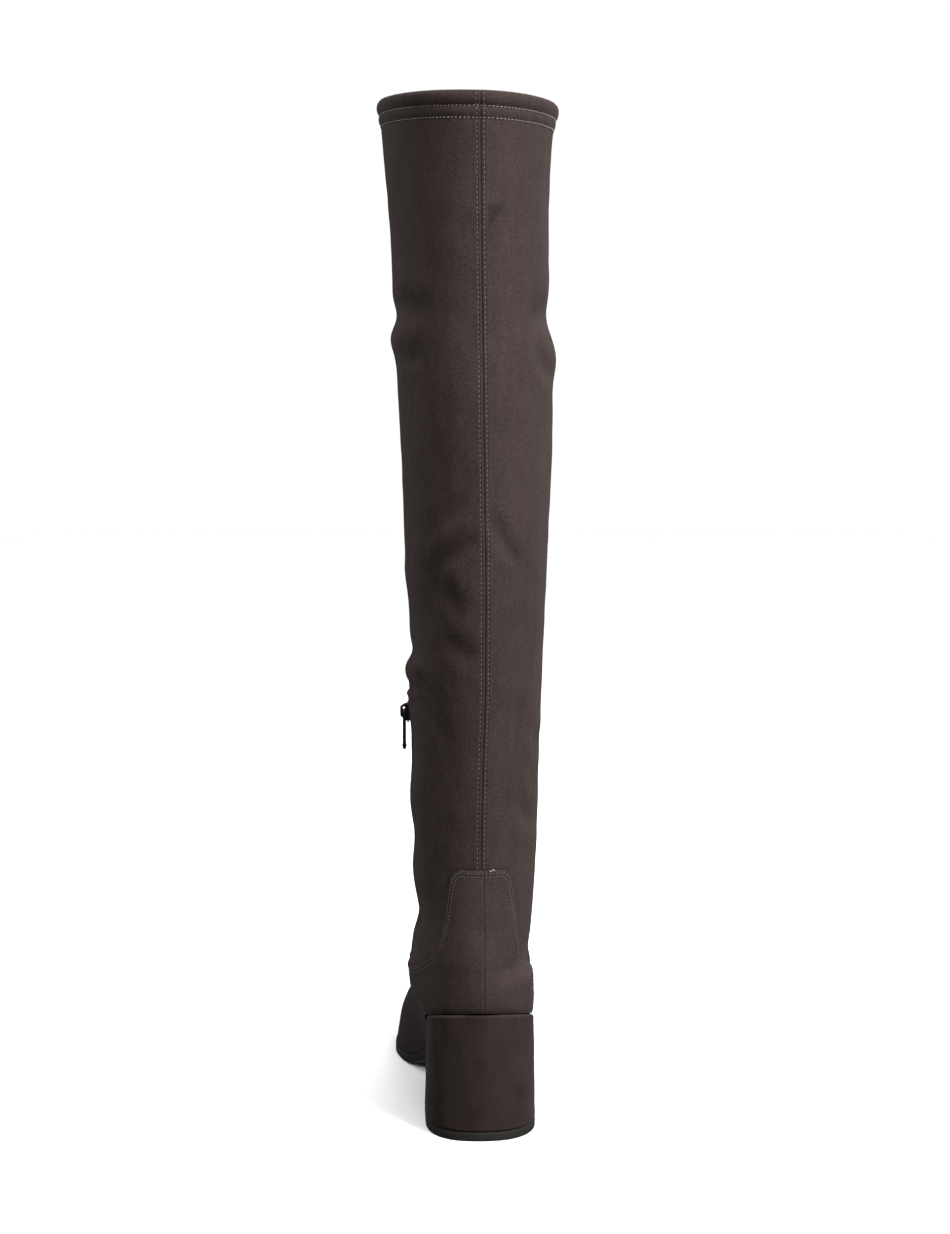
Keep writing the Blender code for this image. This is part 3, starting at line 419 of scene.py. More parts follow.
def last_points(turn, z):
    """Points of the boot's own surface at turns from the back seam (plus to the outer side) and heights."""
    turn, z = np.broadcast_arrays(np.asarray(turn, float), np.asarray(z, float))
    i, w = cubic(LEVEL_Z, z)
    level = {name: w[0] * values[i] + w[1] * values[i + 1] + w[2] * LEVEL_SLOPES[name][i]
             + w[3] * LEVEL_SLOPES[name][i + 1] for name, values in LEVEL_VALUES.items()}
    outer = np.sin(turn) >= 0
    full = np.stack([np.where(outer, level["outer_" + name], level["inner_" + name])
                     for name in STATIONS], -1)
    slope = tangents(SHARE_KEYS, full)
    share = (1 - np.cos(turn)) / 2
    j, w = cubic(SHARE_KEYS, share)
    pick = [np.take_along_axis(part, k[..., None], -1)[..., 0]
            for part, k in ((full, j), (full, j + 1), (slope, j), (slope, j + 1))]
    half = sum(a * b for a, b in zip(w, pick)) + fold_offset(turn, z)
    x = level["shift"] * share * share + half * np.sin(turn)
    y = level["back"] + share * (level["front"] - level["back"])
    return np.stack([x, y, z], -1)


def normals(turn, z):
    """Outward unit normals of the surface."""
    step = 1e-3
    around = last_points(turn + step, z) - last_points(turn - step, z)
    up = last_points(turn, z + step) - last_points(turn, z - step)
    return unit(np.cross(around, up))


def surface_points(turn, z, proud):
    """Surface points moved out along the normal."""
    return last_points(turn, z) + np.asarray(proud)[..., None] * normals(turn, z)


def sole_top(y):
    """Height of the sole's upper face."""
    y = np.asarray(y, float)
    seat_end = HEEL_DEPTH - HEEL_BACK
    ball_start = BALL_START * FOOT_LENGTH - HEEL_BACK
    ball_end = BALL_END * FOOT_LENGTH - HEEL_BACK
    toe = FOOT_LENGTH - HEEL_BACK
    run = ball_start - seat_end
    t = np.clip((y - seat_end) / run, 0.0, 1.0)
    top = HEEL_HEIGHT + SEAT_SLOPE * (seat_end + HEEL_BACK)
    arch = (1 + 2 * t) * (1 - t) ** 2 * top + t * (1 - t) ** 2 * run * SEAT_SLOPE + eased(t) * SOLE_THICKNESS
    spring = SOLE_THICKNESS + TOE_SPRING * (np.clip(y - ball_end, 0.0, None) / (toe - ball_end)) ** 2
    seat = HEEL_HEIGHT + SEAT_SLOPE * (y + HEEL_BACK)
    return np.where(y <= seat_end, seat, np.where(y < ball_start, arch, spring))


def waist_ease(y):
    """0 at the heel's breast, 1 from the ball on, and a smooth rise between."""
    seat_end = HEEL_DEPTH - HEEL_BACK
    return eased(np.clip((y - seat_end) / (BALL_START * FOOT_LENGTH - HEEL_BACK - seat_end), 0.0, 1.0))


def sole_bottom(y):
    """Height of the outsole's lower face."""
    return sole_top(y) - SHANK_THICKNESS - (SOLE_THICKNESS - SHANK_THICKNESS) * waist_ease(y)


def feather_height(turn):
    """Height where the surface meets the sole's upper face."""
    low, high = 0.0, ANKLE_HEIGHT
    for _ in range(30):
        middle = (low + high) / 2
        under = middle < sole_top(last_points(turn, middle)[..., 1])
        low = np.where(under, middle, low)
        high = np.where(under, high, middle)
    return high


def edge_height(turn):
    """Height of the seam between foot and shaft."""
    share = np.abs(half_turn(turn))
    back = SIDE_SEAM + (COUNTER_HEIGHT - SIDE_SEAM) * through(COUNTER_EDGE, share)
    front = SIDE_SEAM + (INSTEP_HEIGHT - SIDE_SEAM) * through(INSTEP_EDGE, share)
    return np.where(share < COUNTER_EDGE[-1][0], back, front)


def collar_height(turn):
    """Height of the collar's edge."""
    return BOOT_HEIGHT + COLLAR_RISE * (1 - np.cos(turn)) / 2 - COLLAR_SIDE_FALL * np.sin(turn)


def reach_along(points, axis):
    """Distance travelled along rows or columns of points, from their first one."""
    steps = np.linalg.norm(np.diff(points, axis=axis), axis=-1)
    return np.cumsum(np.insert(steps, 0, 0.0, axis=axis), axis=axis)


class Chart:
    """The leg laid flat: distance around from the back middle, plus to the outer side, at each height."""

    def __init__(self):
        self.columns, self.rows = 720, 160
        self.middle = self.columns // 2
        self.turns = np.linspace(-math.pi, math.pi, self.columns + 1)
        self.heights = np.linspace(SIDE_SEAM - 0.005, BOOT_HEIGHT + COLLAR_RISE, self.rows)
        reach = reach_along(last_points(self.turns[None, :], self.heights[:, None]), 1)
        self.around = reach - reach[:, self.middle:self.middle + 1]

    def u(self, turn, z):
        """Distance around at turns and heights."""
        turn, z = np.broadcast_arrays(half_turn(turn) * math.pi, z)
        column = np.clip((turn + math.pi) / (2 * math.pi) * self.columns, 0, self.columns - 0.001)
        row = np.clip(np.interp(z, self.heights, np.arange(self.rows)), 0, self.rows - 1.001)
        c, r = column.astype(int), row.astype(int)
        a, b = column - c, row - r
        low = self.around[r, c] * (1 - a) + self.around[r, c + 1] * a
        high = self.around[r + 1, c] * (1 - a) + self.around[r + 1, c + 1] * a
        return low * (1 - b) + high * b

    def turn(self, u, z):
        """Turns at distances around and heights, for lists of points."""
        rows = np.clip(np.searchsorted(self.heights, z), 1, self.rows - 1)
        found = []
        for place, height, r in zip(u, z, rows):
            b = (height - self.heights[r - 1]) / (self.heights[r] - self.heights[r - 1])
            row = self.around[r - 1] * (1 - b) + self.around[r] * b
            found.append(np.interp(place, row, self.turns))
        return np.array(found)


CHART = Chart()


def seam_across(z):
    """Where the back seam runs, as a distance around."""
    return through(SEAM_PATH, z)


def bell(value, half):
    return np.exp(-(value / half) ** 2)


def ridges(off, table):
    """Sum of soft ridges and grooves, each (place, height, half width)."""
    return sum(height * bell(off - place, half) for place, height, half in table)


def darkened(marks_and_painted_shade, across, z, patches):
    """Values made darker in soft patches, each (place, height, half width, half height, depth)."""
    for place, height, wide, tall, depth in patches:
        marks_and_painted_shade = marks_and_painted_shade * (1 - depth * bell(across - place, wide) * bell(z - height, tall))
    return marks_and_painted_shade


def crease_relief(u, z):
    """Soft troughs with ridges beside them."""
    total = 0.0
    for from_u, from_z, to_u, to_z, depth, half, bow in CREASES:
        length = math.hypot(to_u - from_u, to_z - from_z)
        along_u, along_z = (to_u - from_u) / length, (to_z - from_z) / length
        t = ((u - from_u) * along_u + (z - from_z) * along_z) / length
        off = (z - from_z) * along_u - (u - from_u) * along_z - bow * 4 * t * (1 - t)
        fade = bell(np.clip(np.abs(t - 0.5) - 0.22, 0.0, None), 0.19)
        ridge = (RIDGE_SHARE, 1.1 * half)
        profile = ((0.0, -1.0, half), (1.9 * half, *ridge), (-1.9 * half, *ridge))
        total = total + depth * fade * ridges(off, profile)
    return total


def zip_relief(u, z):
    """Waves of the cloth beside the zip."""
    return ridges(z, ZIP_WAVES) * bell(u - CHART.u(ZIP_TURN, z), ZIP_WAVE_WIDE)


def cloth_noise(u, z, size, seed):
    """Smooth unevenness made of a few crossing waves."""
    draw = np.random.default_rng(seed)
    total = 0.0
    for _ in range(9):
        angle, phase = draw.uniform(0, 2 * math.pi, 2)
        pitch = size * draw.uniform(0.7, 1.6)
        total = total + np.sin((u * math.cos(angle) + z * math.sin(angle)) * 2 * math.pi / pitch + phase)
    return total / 3


def leg_relief(turn, z):
    """How far the leg's cloth stands out of the plain surface."""
    u = CHART.u(turn, z)
    seam = np.where(np.abs(u) < SEAM_REACH, ridges(np.abs(u - seam_across(z)), SEAM_RIDGES), 0.0)
    calm = 1 - bell(np.clip(collar_height(turn) - z, 0.0, None), 0.030)
    return (crease_relief(u, z) + zip_relief(u, z) + seam
            + 0.00016 * calm * cloth_noise(u, z, 0.034, 3) + 0.00005 * cloth_noise(u, z, 0.011, 4))


def linked(name, data):
    """New object in the scene."""
    thing = bpy.data.objects.new(name, data)
    bpy.context.scene.collection.objects.link(thing)
    return thing


def add_piece(name, mesh, paint, node=None, body="boot"):
    """Smooth piece on a body, with its material and the solid that it replaces."""
    mesh.materials.append(paint)
    mesh.shade_smooth()
    piece = linked(name, mesh)
    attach(piece, body)
    if node:
        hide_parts(node)


def mesh_from(name, verts, faces, sharp=None, marks_and_painted_shade=None):
    """Mesh from arrays without their unused points, its faces turned outwards."""
    used = np.unique(np.concatenate([np.asarray(face) for face in faces]))
    place = np.zeros(len(verts), int)
    place[used] = np.arange(len(used))
    mesh = bpy.data.meshes.new(name)
    mesh.from_pydata(np.asarray(verts)[used].tolist(), [],
                     [place[np.asarray(face)].tolist() for face in faces])
    bm = bmesh.new()
    bm.from_mesh(mesh)
    bmesh.ops.recalc_face_normals(bm, faces=bm.faces)
    bm.to_mesh(mesh)
    bm.free()
    if marks_and_painted_shade is not None:
        set_value(mesh, "marks_and_painted_shade", np.asarray(marks_and_painted_shade)[used])
    if sharp is not None:
        mesh.shade_smooth()
        mesh.set_sharp_from_angle(angle=math.radians(sharp))
    return mesh


def quad_faces(grid, skip=None):
    """Quads between the rows of an index grid, all around, apart from those to skip."""
    rows, columns = grid.shape
    return [(grid[i, j], grid[i, (j + 1) % columns], grid[i + 1, (j + 1) % columns], grid[i + 1, j])
            for i in range(rows - 1) for j in range(columns) if skip is None or not skip[i, j]]


def tube_faces(rows, columns):
    """Quads through rings of points, and a face at each end."""
    grid = np.arange(rows * columns).reshape(rows, columns)
    return quad_faces(grid) + [tuple(grid[0][::-1]), tuple(grid[-1])]


def ring_faces(loops):
    """Quads through loops of points, from the last loop back to the first."""
    grid = np.arange(loops.shape[0] * loops.shape[1]).reshape(loops.shape[:2])
    return quad_faces(np.concatenate([grid, grid[:1]]))


def set_value(mesh, name, values):
    """Store one number for each vertex, for the material to read."""
    found = mesh.attributes.get(name) or mesh.attributes.new(name, "FLOAT", "POINT")
    found.data.foreach_set("value", np.asarray(values, np.float32).ravel())


def spread(low, high, count, dense_at, strength, wide):
    """Values from low to high, closer together round each dense place."""
    x = np.linspace(low, high, 4001)
    weight = np.ones_like(x)
    for place in dense_at:
        weight += strength * bell(x - place, wide)
    total = np.concatenate([[0.0], np.cumsum((weight[1:] + weight[:-1]) / 2)])
    return np.interp(np.linspace(0.0, total[-1], count), total, x)


def shaft_turns():
    """Turns of the leg's columns, closer at the back seam, and the two on the edges of the zip's slot."""
    edges = (-math.pi / 2 - ZIP_SLOT_TURN, -math.pi / 2 + ZIP_SLOT_TURN)
    half = spread(0.0, math.pi, 118, (0.0,), 7.0, 0.07)
    left = spread(-math.pi, 0.0, 128, (0.0, *edges), 7.0, 0.06)
    for edge in edges:
        left[nearest(left, edge)] = edge
    turns = np.concatenate([left[1:-1], half])
    return turns, [nearest(turns, edge) for edge in edges]


def make_shaft(suede):
    """The leg's outer cloth, over the hem and down inside it, with the slot for the zip."""
    turns, (first, last) = shaft_turns()
    low = edge_height(turns)
    top = collar_height(turns)
    start, end = low + LEG_START, top - HEM[0][0]
    rows = [(low + lift, out) for lift, out in SHAFT_EDGE]
    rows += [(start + (end - start) * i / SHAFT_ROWS, 0.0) for i in range(SHAFT_ROWS)]
    hem_start = len(rows)
    rows += [(top - drop, out) for drop, out in HEM]
    z = np.array([height for height, _ in rows])
    out = np.array([[proud] for _, proud in rows])
    inside = np.arange(len(rows))[:, None] >= len(rows) - HEM_INNER_ROWS
    # Columns near the back follow the seam
    width = np.gradient(CHART.around, CHART.turns, axis=1)[:, CHART.middle]
    pull = np.interp(z, CHART.heights, width)
    turn = turns + seam_across(z) / pull * bell(turns, 0.30)
    relief = leg_relief(turn, z)
    u = CHART.u(turn, z)
    pucker = 0.00016 * cloth_noise(u, z * 0.4, 0.0085, 11)
    relief = relief + pucker * bell(top - z - 0.010, 0.009)
    tuck = np.clip((z - low + 0.0004) / 0.004, 0.0, 1.0)
    relief = np.where(inside, np.clip(relief, -0.0004, 0.0004), relief * tuck)
    # The cloth's edges turn in at the slot
    level = (z > ZIP_BOTTOM) & (z < ZIP_TOP)
    edge = np.abs(turns + math.pi / 2) - ZIP_SLOT_TURN
    turned = np.where(level, ridges(edge, SLOT_RIDGES), 0.0)
    outer = surface_points(turn, z, out + relief + turned)
    # Inner face of the same cloth, with fewer rows, down to the lower edge
    columns = len(turns)
    low_row, top_row = (nearest(z[:hem_start, first], height) for height in (ZIP_BOTTOM, ZIP_TOP))
    order = sorted({0, 2, low_row, top_row, hem_start, *range(4, hem_start, 5)}, reverse=True)
    deep = surface_points(turn[order], z[order], np.clip(relief[order], -0.0030, 0.0008) - CLOTH)
    hem_end = surface_points(turn[-1], z[-1], -0.0013)
    verts = np.concatenate([outer.reshape(-1, 3), hem_end, deep.reshape(-1, 3)])
    index = np.arange(len(verts)).reshape(-1, columns)
    grid, end_row, inner = index[:len(rows)], index[len(rows)], index[len(rows) + 1:]
    skip = np.zeros(grid.shape, bool)
    skip[low_row:top_row, first:last] = True
    faces = quad_faces(grid, skip) + quad_faces(np.stack([grid[-1], end_row, inner[0]]))
    skip_in = np.zeros(inner.shape, bool)
    skip_in[order.index(top_row):order.index(low_row), first:last] = True
    faces += quad_faces(inner, skip_in) + quad_faces(np.stack([inner[-1], grid[0]]))
    # Edges of the slot, from the outer to the inner face
    for column in (first, last):
        for i in range(order.index(top_row), order.index(low_row)):
            edge = list(grid[order[i + 1]:order[i] + 1, column][::-1])
            faces.append((*edge, inner[i + 1, column], inner[i, column]))
    for row in (low_row, top_row):
        here = order.index(row)
        for j in range(first, last):
            faces.append((grid[row, j], grid[row, j + 1], inner[here, j + 1], inner[here, j]))
    # Painted shadow of the foot's edge on the cloth beside it
    steep = np.gradient(low) / np.gradient(CHART.u(turns, low))
    beside = (z - low) / np.sqrt(1 + steep * steep)
    marks_and_painted_shade = np.ones(len(verts))
    marks_and_painted_shade[:grid.size] = (brushed_mark_and_painted_shade(u, z) * (1 - FOOT_EDGE_PAINTED_SHADOW * bell(beside, FOOT_EDGE_PAINTED_SHADOW_REACH))).ravel()
    add_piece("shaft_suede", mesh_from("shaft_suede", verts, faces, marks_and_painted_shade=marks_and_painted_shade), suede, "shaft")


def brushed_mark_and_painted_shade(u, z):
    """Painted shading in the seam's grooves, the creases' troughs and soft patches; a darker brushed mark."""
    # Painted shade in the seam's groove and stitch channels
    marks_and_painted_shade = 1 + ridges(np.abs(u - seam_across(z)), SEAM_GROOVE_PAINTED_SHADE)
    # Painted shade in the troughs of the creases
    trough = np.clip(-crease_relief(u, z) / 0.0012, 0.0, 1.0)
    marks_and_painted_shade = marks_and_painted_shade * (1 - 0.16 * trough)
    (left, top), (right, _), (low, bottom) = NAP_MARK
    t = np.clip((z - bottom) / (top - bottom), 0.0, 1.0)
    from_left = np.clip((u - low - (left - low) * t) / 0.0005, 0, 1)
    from_right = np.clip((low + (right - low) * t - u) / 0.0008, 0, 1)
    from_top = np.clip((top - z) / 0.0006, 0, 1)
    marks_and_painted_shade = marks_and_painted_shade * (1 - 0.30 * from_left * from_right * from_top * (z > bottom))
    # Soft patches of painted shade
    return darkened(marks_and_painted_shade, u, z, LEG_PAINTED_SHADE_PATCHES)


def make_lining(paint):
    """Knitted lining inside the leg, from under the hem down to the ankle."""
    turns = np.linspace(0.0, 2 * math.pi, 97)[:-1]
    top = collar_height(turns) - LINING_DROP
    low = edge_height(turns) - 0.003
    z = low + (top - low) * np.arange(LINING_ROWS + 1)[:, None] / LINING_ROWS
    relief = np.clip(leg_relief(turns, z), -0.0030, 0.0003)
    front, back = (surface_points(turns, z, relief + depth) for depth in LINING_FACES)
    verts = np.concatenate([front, back[::-1]])
    mesh = mesh_from("shaft_lining", verts.reshape(-1, 3), ring_faces(verts))
    add_piece("shaft_lining", mesh, paint)


def foot_relief(turn, z):
    """Relief of the foot: counter seam, sunk lasting edge, and soft flex creases over the ball."""
    points = last_points(turn, z)
    x, y = points[..., 0], points[..., 1]
    total = np.where(y < 0.0, ridges(np.abs(x - COUNTER_SEAM), COUNTER_RIDGES), 0.0)
    lift = z - sole_top(y)
    for share, depth, half in VAMP_CREASES:
        place = share * FOOT_LENGTH - HEEL_BACK + 0.10 * (x + 0.006)
        side = np.clip((lift - 0.012) / 0.020, 0.0, 1.0)
        dip = 0.5 * bell(np.abs(y - place) - 2 * half, 1.1 * half) - bell(y - place, half)
        total = total + depth * side * dip
    total = total - 0.0006 * bell(lift, 0.0016)
    return total + 0.00010 * cloth_noise(y + 0.6 * x, z, 0.026, 5)


def foot_heights(turns, rows):
    """Heights of the foot's rows at each turn, even along the surface and closer at both edges."""
    low = feather_height(turns)
    high = edge_height(turns)
    t = np.linspace(0.0, 1.0, 90)
    z = low + (high - low) * t[:, None]
    reach = reach_along(last_points(turns, z), 0)
    shares = spread(0.0, 1.0, rows, (0.0, 1.0), 4.0, 0.03)
    return np.column_stack([np.interp(shares * reach[-1, j], reach[:, j], z[:, j])
                            for j in range(len(turns))])


def make_foot(suede):
    """Vamp, quarters and counter over the last, with a turned upper edge."""
    half = spread(0.0, math.pi, 170, (0.0, 0.6, math.pi), 3.0, 0.10)
    turns = np.concatenate([half[:-1], 2 * math.pi - half[:0:-1]])
    z = foot_heights(turns, 70)
    top = edge_height(turns)
    below = np.clip(top - z, 0.0, None)
    outer = surface_points(turns, z, FOOT_PROUD + foot_relief(turns, z) + ridges(below, FOOT_EDGE_RIDGES))
    outer[0, :, 2] = sole_top(outer[0, :, 1]) + PIECE_GAP / 2
    lips = [surface_points(turns, top + 0.0003, proud) for proud in (FOOT_STEP + 0.0001, -0.0002)]
    inner = surface_points(turns, foot_heights(turns, 16), -SHAFT_WALL)
    inner[0, :, 2] = sole_top(inner[0, :, 1]) + PIECE_GAP
    loops = np.concatenate([outer, np.array(lips), inner[::-1]])
    # Painted shade: the vamp darker towards the toe
    toward_toe = np.clip((loops[..., 1] + 0.004) / 0.060, 0.0, 1.0)
    marks_and_painted_shade = 1 - VAMP_PAINTED_SHADE * eased(toward_toe)
    # Painted shade in a band just above the seat
    marks_and_painted_shade = marks_and_painted_shade * (1 - SEAT_PAINTED_SHADE * bell(loops[..., 2] - sole_top(loops[..., 1]), 0.0045))
    mesh = mesh_from("foot_suede", loops.reshape(-1, 3), ring_faces(loops), marks_and_painted_shade=marks_and_painted_shade.ravel())
    add_piece("foot_suede", mesh, suede, "foot_upper")


def breast_turn():
    """Turn that stands on the outsole's end at the heel's breast."""
    low, high = 0.0, math.pi
    while high - low > 1e-6:
        middle = (low + high) / 2
        y = last_points(np.array([middle]), feather_height(np.array([middle])))[0, 1]
        if y < HEEL_DEPTH - HEEL_BACK + PIECE_GAP:
            low = middle
        else:
            high = middle
    return low


def board(name, turns, rims):
    """Solid between outlines, the first of them on top and the last underneath.

    A rim is (proud, how much further from the ball on, height).
    """
    count = len(turns)
    closed_back = turns[0] == 0.0
    foot = feather_height(turns)
    other_foot = feather_height(2 * math.pi - turns)
    ease = waist_ease(last_points(turns, foot)[:, 1])
    loops = []
    for proud, edge, height in rims:
        right = surface_points(turns, foot, proud + edge * ease)
        left = surface_points(2 * math.pi - turns, other_foot, proud + edge * ease)
        left[:, 1] = right[:, 1]
        ends = slice(1, -1) if closed_back else slice(0, -1)
        loop = np.concatenate([right, left[ends][::-1]])
        loop[:, 2] = height(loop[:, 1])
        loops.append(loop)
    verts = np.array(loops)
    size = verts.shape[1]
    grid = np.arange(verts.shape[0] * size).reshape(-1, size)
    faces = quad_faces(grid)
    for loop in (grid[0], grid[-1]):
        other = [loop[(2 * (count - 1) - i) % size] for i in range(count)]
        for i in range(count - 1):
            faces.append(tuple(dict.fromkeys([loop[i], loop[i + 1], other[i + 1], other[i]])))
    return mesh_from(name, verts.reshape(-1, 3), faces, sharp=35)


def make_outsole(paint):
    """Thin black sole with a rounded edge."""
    start = breast_turn()
    turns = spread(start, math.pi, 150, (math.pi,), 2.0, 0.3)
    rims = [(FOOT_STEP - inset, out * SOLE_EDGE, height) for inset, out, height in (
        (0.0004, 0.0, sole_top),
        (0.0003, 0.8, sole_top),
        (0.0001, 1.0, lambda y: sole_top(y) - 0.0003),
        (0.0000, 1.0, lambda y: sole_top(y) - 0.0010),
        (0.0001, 1.0, lambda y: (sole_top(y) + sole_bottom(y)) / 2),
        (0.0000, 1.0, lambda y: sole_bottom(y) + 0.0012),
        (0.0001, 1.0, lambda y: sole_bottom(y) + 0.0005),
        (0.0005, 1.0, lambda y: sole_bottom(y) + 0.0001),
        (0.0015, 1.0, sole_bottom))]
    add_piece("outsole_rubber", board("outsole_rubber", turns, rims), paint, "outsole")


def make_insole(paint):
    """Sock over the board inside, soft at its edge."""
    turns = spread(0.0, math.pi, 110, (0.0, math.pi), 2.0, 0.3)
    inset = -SHAFT_WALL - 2 * PIECE_GAP
    rims = [(inset - 0.0030, 0.0, lambda y: sole_top(y) + PIECE_GAP + INSOLE_THICKNESS),
            (inset - 0.0008, 0.0, lambda y: sole_top(y) + PIECE_GAP + INSOLE_THICKNESS - 0.0002),
            (inset, 0.0, lambda y: sole_top(y) + PIECE_GAP + INSOLE_THICKNESS - 0.0009),
            (inset, 0.0, lambda y: sole_top(y) + PIECE_GAP)]
    add_piece("insole_sock", board("insole_sock", turns, rims), paint, "insole")


def heel_outline(width, back, front, count=64, corner_steps=6):
    """D-shaped outline: round behind, straight sides, flat breast with small corners."""
    half = width / 2
    corner = HEEL_CORNER * width
    depth = min(HEEL_BACK_DEPTH * width, front - back)
    angle = np.linspace(0.0, math.pi, count + 1)
    across = -np.cos(angle)
    x = half * np.sign(across) * np.abs(across) ** HEEL_BACK_POWER
    y = back + depth - depth * np.abs(np.sin(angle)) ** HEEL_BACK_POWER
    points = list(zip(x, y))
    for middle, start in ((half - corner, 0.0), (corner - half, math.pi / 2)):
        for i in range(corner_steps + 1):
            a = start + math.pi / 2 * i / corner_steps
            points.append((middle + corner * math.cos(a), front - corner + corner * math.sin(a)))
    return np.array(points)


def heel_rings(steps, height):
    """Rings of a heel piece. A step is (share of the heel's height, inset, lift)."""
    rings = []
    for share, inset, lift in steps:
        width = HEEL_BASE_WIDTH + (HEEL_WIDTH - PIECE_GAP - HEEL_BASE_WIDTH) * share - 2 * inset
        outline = heel_outline(width, -HEEL_BACK - HEEL_RAKE * share + inset, HEEL_DEPTH - HEEL_BACK - inset)
        rings.append(np.column_stack([outline, height(share, outline[:, 1]) + lift]))
    return np.array(rings)


def stacked(name, rings, sharp=None):
    """Solid through rings, closed at both ends."""
    return mesh_from(name, rings.reshape(-1, 3), tube_faces(*rings.shape[:2]), sharp)


def make_heel(suede, rubber):
    """Block heel covered with suede, and the rubber piece under it."""
    split = TOP_PIECE_THICKNESS + PIECE_GAP

    def between(share, y):
        return split + (sole_top(y) - PIECE_GAP - split) * share

    steps = [(0.0, 0.0009, 0.0), (0.0, 0.0003, 0.0003), (0.004, 0.0, 0.0004), (0.02, -0.00005, 0.0)]
    steps += [(share, 0.0, 0.0) for share in np.linspace(0.05, 0.95, 40)]
    steps += [(0.972, -0.0001, 0.0), (0.985, 0.0001, 0.0), (0.993, 0.0005, 0.0), (0.998, 0.0013, 0.0)]
    rings = heel_rings(steps, between)
    flat = rings.reshape(-1, 3)
    out = flat * (1.0, 1.0, 0.0) + (0.0, 0.002, 0.0)
    out /= np.maximum(np.linalg.norm(out, axis=1, keepdims=True), 1e-9)
    uneven = 0.00012 * cloth_noise(flat[:, 0] + flat[:, 1], flat[:, 2], 0.024, 8)
    middle = np.clip(np.minimum(flat[:, 2] - 0.008, 0.060 - flat[:, 2]) / 0.01, 0.0, 1.0)
    flat += out * (uneven * middle)[:, None]
    mesh = stacked("heel_suede", flat.reshape(rings.shape), sharp=50)
    marks = darkened(1.0, flat[:, 0], flat[:, 2], HEEL_MARKS)
    set_value(mesh, "marks_and_painted_shade", np.where(flat[:, 1] < 0.0, marks, 1.0))
    add_piece("heel_suede", mesh, suede, "heel_block")
    rims = [(0.0, 0.0011, 0.0), (0.0, 0.0005, 0.0001), (0.0, 0.0001, 0.0005), (0.0, 0.0, 0.0011),
            (0.0, 0.0, 0.0036), (0.0, 0.0001, 0.0046), (0.0, 0.0006, 0.0050)]
    mesh = stacked("heel_rubber", heel_rings(rims, lambda share, y: np.zeros(len(y))), sharp=35)
    add_piece("heel_rubber", mesh, rubber, "heel_top_piece")


def capsule(length, radius, arch, rings=5):
    """Points and faces of one stitch along X: its ends dive, its middle stands up along Z."""
    sides = 6
    verts = []
    for k in np.linspace(-1.0, 1.0, rings):
        size = radius * (1 - 0.45 * k * k)
        lift = arch * (1 - k * k)
        for s in range(sides):
            a = 2 * math.pi * s / sides
            verts.append((k * length / 2, size * math.cos(a), lift + size * math.sin(a)))
    return np.array(verts), tube_faces(rings, sides)


def add_copies(name, points, along, out, template, paint, node=None):
    """Copies of a template, X along and Z out at each point, joined as one piece."""
    verts, faces = template
    along = unit(along)
    out = unit(out - np.sum(out * along, axis=1, keepdims=True) * along)
    basis = np.stack([along, np.cross(out, along), out], axis=1)
    all_verts = (verts @ basis) + points[:, None, :]
    shift = np.arange(len(points)) * len(verts)
    all_faces = [tuple(i + s for i in face) for s in shift for face in faces]
    mesh = bpy.data.meshes.new(name)
    mesh.from_pydata(all_verts.reshape(-1, 3).tolist(), [], all_faces)
    mesh.update()
    add_piece(name, mesh, paint, node)


class Stitches:
    """Collects the stitches of one kind of seam and the painted shadow in its needle holes."""

    def __init__(self, kind):
        self.name = kind
        self.kind = dict(zip(STITCH_COLUMNS, STITCH_KINDS[kind]))
        self.stitches = []
        self.holes = []

    def row(self, path, out):
        """One row of stitches along a fine path of points with their normals."""
        reach = reach_along(path, 0)
        count = max(2, round(reach[-1] / self.kind["pitch"]))
        pitch = reach[-1] / count
        places = (np.arange(count) + 0.5) * pitch + RANDOM.uniform(-0.05, 0.05, count) * pitch

        def at(values, where):
            return np.column_stack([np.interp(where, reach, values[:, k]) for k in range(3)])

        along = unit(at(path, places + 0.0003) - at(path, places - 0.0003))
        face = unit(at(out, places))
        self.holes.append((at(path, places + pitch / 2), along, face))
        self.stitches.append((at(path, places), along + RANDOM.normal(0.0, 0.05, along.shape), face))

    def make(self, thread, dark):
        """The collected rows as one piece of thread and one piece of painted shadow in the needle holes."""
        kind = self.kind
        points, along, out = (np.concatenate(part) for part in zip(*self.stitches))
        add_copies(self.name + "_stitches", points + out * 0.00002, along, out,
                   capsule(kind["length"], kind["radius"], kind["arch"]), thread)
        # Painted shadow: dark capsules sunk into the needle holes
        points, along, out = (np.concatenate(part) for part in zip(*self.holes))
        gap = (kind["pitch"] - kind["length"]) * 0.95
        add_copies(self.name + "_hole_shadows", points - out * 0.00010, along, out,
                   capsule(gap, 1.30 * kind["radius"], 0.00001, rings=3), dark)


def leg_line(u, z, proud=0.0):
    """Path on the leg's dressed surface through distances around and heights."""
    turn = CHART.turn(u, z)
    relief = leg_relief(turn, z)
    return surface_points(turn, z, relief + proud), normals(turn, z)


def foot_edge_line(start, end, drop):
    """Path on the foot, a distance inside its upper edge, between two turns."""
    turns = np.linspace(start, end, 700)
    edge = last_points(turns, edge_height(turns))
    run = np.gradient(edge, axis=0)
    face = normals(turns, edge_height(turns))
    side = unit(np.cross(face, run))
    side *= np.where(side[:, 2:] > 0, -1.0, 1.0)
    goal = edge + side * drop
    # Back onto the surface: the nearest turn at the goal's height, by a few steps
    turn, z = turns, goal[:, 2]
    for _ in range(12):
        here = last_points(turn, z)
        ahead = last_points(turn + 1e-4, z)
        slope = (ahead - here) / 1e-4
        miss = goal - here
        turn = turn + np.sum(miss * slope, axis=1) / np.sum(slope * slope, axis=1)
    return surface_points(turn, z, FOOT_PROUD + foot_relief(turn, z)), normals(turn, z)


